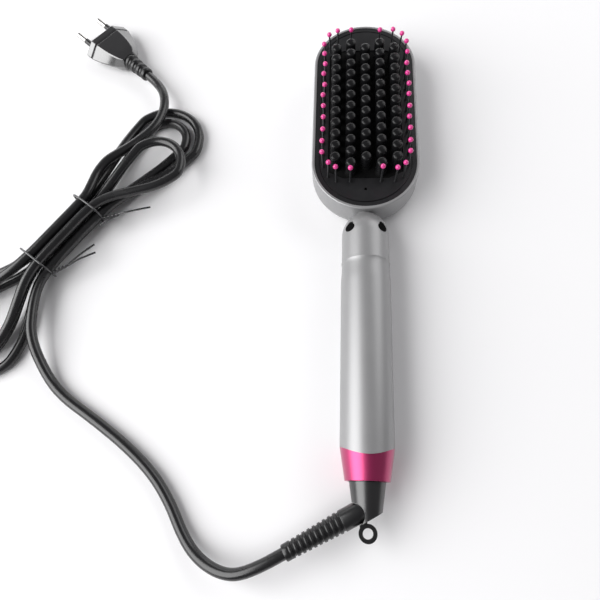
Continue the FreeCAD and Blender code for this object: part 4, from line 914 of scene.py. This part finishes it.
class PanelOperator(bpy.types.Operator):
    """Makes the heated panel with its domed nubs"""
    bl_idname = "styling_brush.panel"
    bl_label = "Heated Panel"
    corner_width: FloatProperty(
        name="Corner Width", description="Cut corner, across", unit="LENGTH", default=9 * MM)
    corner_length: FloatProperty(
        name="Corner Length", description="Cut corner, along", unit="LENGTH", default=4.6 * MM)
    panel_width: FloatProperty(
        name="Panel Width", description="Width of the raised field", unit="LENGTH", default=44.8 * MM)
    panel_length: FloatProperty(
        name="Panel Length", description="Length of the raised field", unit="LENGTH", default=97.2 * MM)
    sink: FloatProperty(
        name="Sink", description="Field below the plate's top", unit="LENGTH", default=0.5 * MM)

    def execute(self, context):
        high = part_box("heater_panel")[1]
        field = PLATE_TOP - self.sink
        shape = bmesh.new()
        foot = field - 0.2 * MM
        nub = turned(self.nub_profile(high[2] - foot), 18)
        places = [Matrix.Translation((x, y, foot)) for x, y in nub_places()]
        add_copies(shape, nub, places)
        add_copies(shape, self.field(field), [Matrix()])
        panel = piece_from("heated_nubs", shape, "nub_black", BRUSH_BODY)
        smooth(panel, 42)
        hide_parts("heater_panel")
        return {"FINISHED"}

    def field(self, top):
        """The raised field with cut corners and softened edges."""
        wide = self.panel_width / 2
        long = self.panel_length / 2
        side = long - self.corner_length
        end = wide - self.corner_width
        corners = ((wide, side), (end, long), (-end, long), (-wide, side),
                   (-wide, -side), (-end, -long), (end, -long), (wide, -side))
        shape = bmesh.new()
        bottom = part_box("heater_panel")[0][2] + 2.2 * MM
        ring = ringed(shape, [(x, HEAD_MIDDLE + y, bottom) for x, y in corners])
        bmesh.ops.contextual_create(shape, geom=ring)
        made = bmesh.ops.extrude_face_region(shape, geom=shape.faces[:])
        raised = [item for item in made["geom"] if isinstance(item, bmesh.types.BMVert)]
        bmesh.ops.translate(shape, verts=raised, vec=(0, 0, top - bottom))
        bmesh.ops.recalc_face_normals(shape, faces=shape.faces[:])
        rim = [edge for edge in shape.edges if all(vert in raised for vert in edge.verts)]
        bmesh.ops.bevel(shape, geom=rim, offset=0.35 * MM, affect="EDGES", segments=2, profile=0.5,
                        material=-1)
        return shape

    def nub_profile(self, height):
        """Half outline of a nub: a small foot, straight sides and a dome."""
        radius = sizes().nub_width / 2
        side = radius * 0.98
        dome = 2.1 * MM
        fullness = 0.72
        profile = [(0, 0), (radius * 1.08, 0), (radius * 1.07, 0.35 * MM), (radius, 0.75 * MM)]
        profile.append((side, height - dome))
        for degrees in (18, 36, 54, 72):
            angle = math.radians(degrees)
            rise = dome * math.sin(angle) ** fullness
            profile.append((side * math.cos(angle) ** fullness, height - dome + rise))
        profile.append((0, height))
        return profile


def nub_places():
    """Nubs in five columns, every second column half a step out."""
    places = []
    for column, count in ((-2, 11), (-1, 12), (0, 11), (1, 12), (2, 11)):
        for number in range(count):
            along = (number - (count - 1) / 2) * sizes().tooth_pitch
            places.append((column * sizes().column_pitch, HEAD_MIDDLE + along))
    return places


def bristle_places():
    """Bristles down each side of the panel and, in millimetres from its middle, across its ends."""
    side_count = 11
    side_place = 25.3 * MM
    end_places = ((9, 50.9), (17.3, 50.9), (22.2, 47.7))
    places = []
    for side in (-1, 1):
        for number in range(side_count):
            along = (number - (side_count - 1) / 2) * sizes().tooth_pitch
            places.append((side * side_place, HEAD_MIDDLE + along))
        for end in (-1, 1):
            for across, along in end_places:
                places.append((side * across * MM, HEAD_MIDDLE + end * along * MM))
    return places


class BristlesOperator(bpy.types.Operator):
    """Makes the pin bristles and their pink tips, each with a small lean of its own"""
    bl_idname = "styling_brush.bristles"
    bl_label = "Bristles"

    def execute(self, context):
        dice = random.Random(sizes().seed)
        matrices = []
        for x, y in bristle_places():
            lean = Matrix.Rotation(dice.uniform(-1, 1) * sizes().bristle_lean, 4, "X")
            sway = Matrix.Rotation(dice.uniform(-1, 1) * sizes().bristle_lean, 4, "Y")
            matrices.append(Matrix.Translation((x, y, PLATE_TOP)) @ lean @ sway)
        height = top_of("bristle_tips") - PLATE_TOP
        foot = sizes().bristle_width / 2
        ball = sizes().ball_width / 2
        neck = height - ball * 1.8
        buried = -0.3 * MM
        outline = [(0, buried), (foot * 1.5, buried), (foot * 1.4, 0.1 * MM), (foot, 0.7 * MM)]
        outline += [(foot * 0.8, neck), (0, neck)]
        stems = bmesh.new()
        add_copies(stems, turned(outline, 10), matrices)
        piece = piece_from("pin_stems", stems, "stem_black", BRUSH_BODY)
        smooth(piece)
        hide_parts("bristle_stems")
        tip = bmesh.new()
        bmesh.ops.create_uvsphere(tip, u_segments=16, v_segments=10, radius=ball)
        bmesh.ops.translate(tip, verts=tip.verts[:], vec=(0, 0, height - ball))
        tips = bmesh.new()
        add_copies(tips, tip, matrices)
        piece = piece_from("pin_tips", tips, "glossy_pink", BRUSH_BODY)
        smooth(piece, 80)
        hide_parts("bristle_tips")
        return {"FINISHED"}


class HeadOperator(bpy.types.Operator):
    """Finishes the head's shell and its face plate"""
    bl_idname = "styling_brush.head"
    bl_label = "Head"

    def execute(self, context):
        dress("head_shell", "satin_silver")
        dress("face_plate", "plate_black")
        return {"FINISHED"}


class HandleOperator(bpy.types.Operator):
    """Finishes the neck, its outlets, the handle and the end collar"""
    bl_idname = "styling_brush.handle"
    bl_label = "Handle"

    def execute(self, context):
        dress("neck_housing", "satin_silver")
        self.sleeve()
        self.outlets()
        # The ion needles in the ports take the same painted shade
        dress("ion_needles", "port_painted_shade")
        dress("end_collar", "clear_pink")
        return {"FINISHED"}

    def sleeve(self):
        """The sleeve's tube, drawn in below a slightly flared upper rim."""
        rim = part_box("handle_sleeve")[1][1]
        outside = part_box("handle_sleeve")[1][0] - 0.3 * MM
        waist = 2.6 * MM
        blend = 14 * MM
        drop = 0.4 * MM
        rings = 14
        shape = bmesh.new()
        shape.from_mesh(NODES["handle_sleeve"].data)
        bmesh.ops.remove_doubles(shape, verts=shape.verts[:], dist=1e-6)
        bmesh.ops.dissolve_limit(shape, angle_limit=math.radians(0.5), verts=shape.verts[:],
                                 edges=shape.edges[:])
        for ring in range(1, rings + 1):
            everything = shape.verts[:] + shape.edges[:] + shape.faces[:]
            level = rim - blend * (ring / rings) ** 2
            bmesh.ops.bisect_plane(shape, geom=everything, plane_co=(0, level, 0), plane_no=(0, 1, 0))
        for point in shape.verts:
            depth = rim - point.co.y
            up = point.co.z - HANDLE_HEIGHT
            radius = math.hypot(point.co.x, up)
            if depth < blend and radius > outside:
                if depth < waist:
                    share = 1 - (1 - depth / waist) ** 2
                else:
                    share = 0.5 + 0.5 * math.cos(math.pi * (depth - waist) / (blend - waist))
                shrink = 1 - drop * share / radius
                point.co.x *= shrink
                point.co.z = HANDLE_HEIGHT + up * shrink
        tube = piece_from("sleeve_tube", shape, "satin_silver", BRUSH_BODY)
        # The normals that came with the copy don't fit its merged corners
        carried_normals = tube.data.attributes.get("custom_normal")
        if carried_normals is not None:
            tube.data.attributes.remove(carried_normals)
        smooth(tube)
        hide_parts("handle_sleeve")

    def outlets(self):
        """Black cups that fill the neck's two slanted ports and end just proud of its skin; their
        near-black, dull finish is painted shade for the deep holes.
        """
        reach = 8.8 * MM
        slant = math.radians(44)
        set_back = 1.5 * MM
        outline = [(0, 0), (2.2 * MM, 0), (2.2 * MM, 3.6 * MM), (2.6 * MM, 4.1 * MM), (2.6 * MM, 4.3 * MM)]
        outline += [(2.4 * MM, 4.4 * MM), (1.9 * MM, 4.4 * MM), (1.6 * MM, 4.25 * MM)]
        outline += [(0.8 * MM, 4.2 * MM), (0, 4.2 * MM)]
        oval = Matrix.Diagonal((1.28, 1.0, 1.0, 1.0))
        port = middle("ion_outlets").y
        seat = Matrix.Translation((0, port - set_back, HANDLE_HEIGHT))
        places = []
        for side in (-1, 1):
            lean = Matrix.Rotation(side * slant, 4, "Y")
            places.append(seat @ lean @ Matrix.Translation((0, 0, reach)) @ oval)
        shape = bmesh.new()
        add_copies(shape, turned(outline, 32), places)
        # The lip and the floor inside it follow the neck, which narrows to a dome below the head
        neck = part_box("neck_housing")[1][0]
        dome = 15.6 * MM
        dome_start = port - 3 * MM
        lip = 4 * MM
        skin_level = 4.12 * MM
        for point in shape.verts:
            across = point.co.x
            up = point.co.z - HANDLE_HEIGHT
            height = abs(across) * math.sin(slant) + up * math.cos(slant) - reach
            if height > lip:
                along = max(0.0, point.co.y - dome_start)
                skin = neck - dome + math.sqrt(dome * dome - along * along)
                stretch = (skin + height - skin_level) / math.hypot(across, up)
                point.co.x = across * stretch
                point.co.z = HANDLE_HEIGHT + up * stretch
        cups = piece_from("outlet_cups", shape, "port_painted_shade", BRUSH_BODY)
        smooth(cups)
        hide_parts("ion_outlets")


class ControlsOperator(bpy.types.Operator):
    """Finishes the control panel on the handle's back"""
    bl_idname = "styling_brush.controls"
    bl_label = "Controls"

    def execute(self, context):
        dress("control_panel", "plate_black")
        for button in ("power_button", "heat_up_button", "heat_down_button"):
            dress(button, "elbow_black")
        dress("display_window", "smoked_window")
        return {"FINISHED"}


class SwivelOperator(bpy.types.Operator):
    """Finishes the swivel elbow and its hanging loop"""
    bl_idname = "styling_brush.swivel"
    bl_label = "Swivel"

    def execute(self, context):
        dress("swivel_elbow", "elbow_black")
        dress("hanging_loop", "relief_black")
        dress("swivel_bush", "inner_grey")
        dress("swivel_clip", "steel")
        dress("slip_rings", "brass")
        dress("contact_wipers", "brass")
        dress("contact_block", "inner_grey")
        return {"FINISHED"}


class InnerOperator(bpy.types.Operator):
    """Finishes the heater, the boards and the wiring inside"""
    bl_idname = "styling_brush.inner"
    bl_label = "Inner Pieces"

    def execute(self, context):
        groups = {
            "ceramic": ("heater_element", "thermal_fuse", "heater_leads"),
            "mica": ("insulation_sheet",),
            "steel": ("heater_clamp", "clamp_screws"),
            "board_green": ("circuit_board", "power_board"),
            "inner_grey": ("temperature_sensor", "ion_generator", "tact_switches", "display_module",
                           "board_tray", "capacitor", "relay"),
        }
        for finish, nodes in groups.items():
            for node in nodes:
                dress(node, finish)
        return {"FINISHED"}


class BrushPanel(bpy.types.Panel):
    """Lists the steps that dress the brush"""
    bl_idname = "VIEW3D_PT_styling_brush"
    bl_label = "Styling Brush"
    bl_space_type = "VIEW_3D"
    bl_region_type = "UI"
    bl_category = "Brush"

    def draw(self, context):
        for step in STEPS:
            self.layout.operator(step.bl_idname)
        for group in (context.scene.brush_sizes, context.scene.brush_colours, context.scene.brush_stage):
            box = self.layout.box()
            for key in group.bl_rna.properties.keys():
                if key not in ("name", "rna_type"):
                    box.prop(group, key)


STEPS = (StageOperator, HeadOperator, PanelOperator, BristlesOperator, HandleOperator, ControlsOperator,
         SwivelOperator, InnerOperator, ReliefOperator, TiesOperator, PlugOperator, CordOperator)
GROUPS = {"brush_stage": StageSettings, "brush_sizes": BrushSizes, "brush_colours": BrushColours}


def register():
    for name, group in GROUPS.items():
        bpy.utils.register_class(group)
        setattr(bpy.types.Scene, name, PointerProperty(type=group))
    for part in STEPS + (BrushPanel,):
        bpy.utils.register_class(part)


def unregister():
    for part in reversed(STEPS + (BrushPanel,)):
        bpy.utils.unregister_class(part)
    for name, group in GROUPS.items():
        delattr(bpy.types.Scene, name)
        bpy.utils.unregister_class(group)


def main():
    register()
    for step in STEPS:
        getattr(bpy.ops.styling_brush, step.bl_idname.split(".")[1])()


if __name__ == "__main__":
    main()
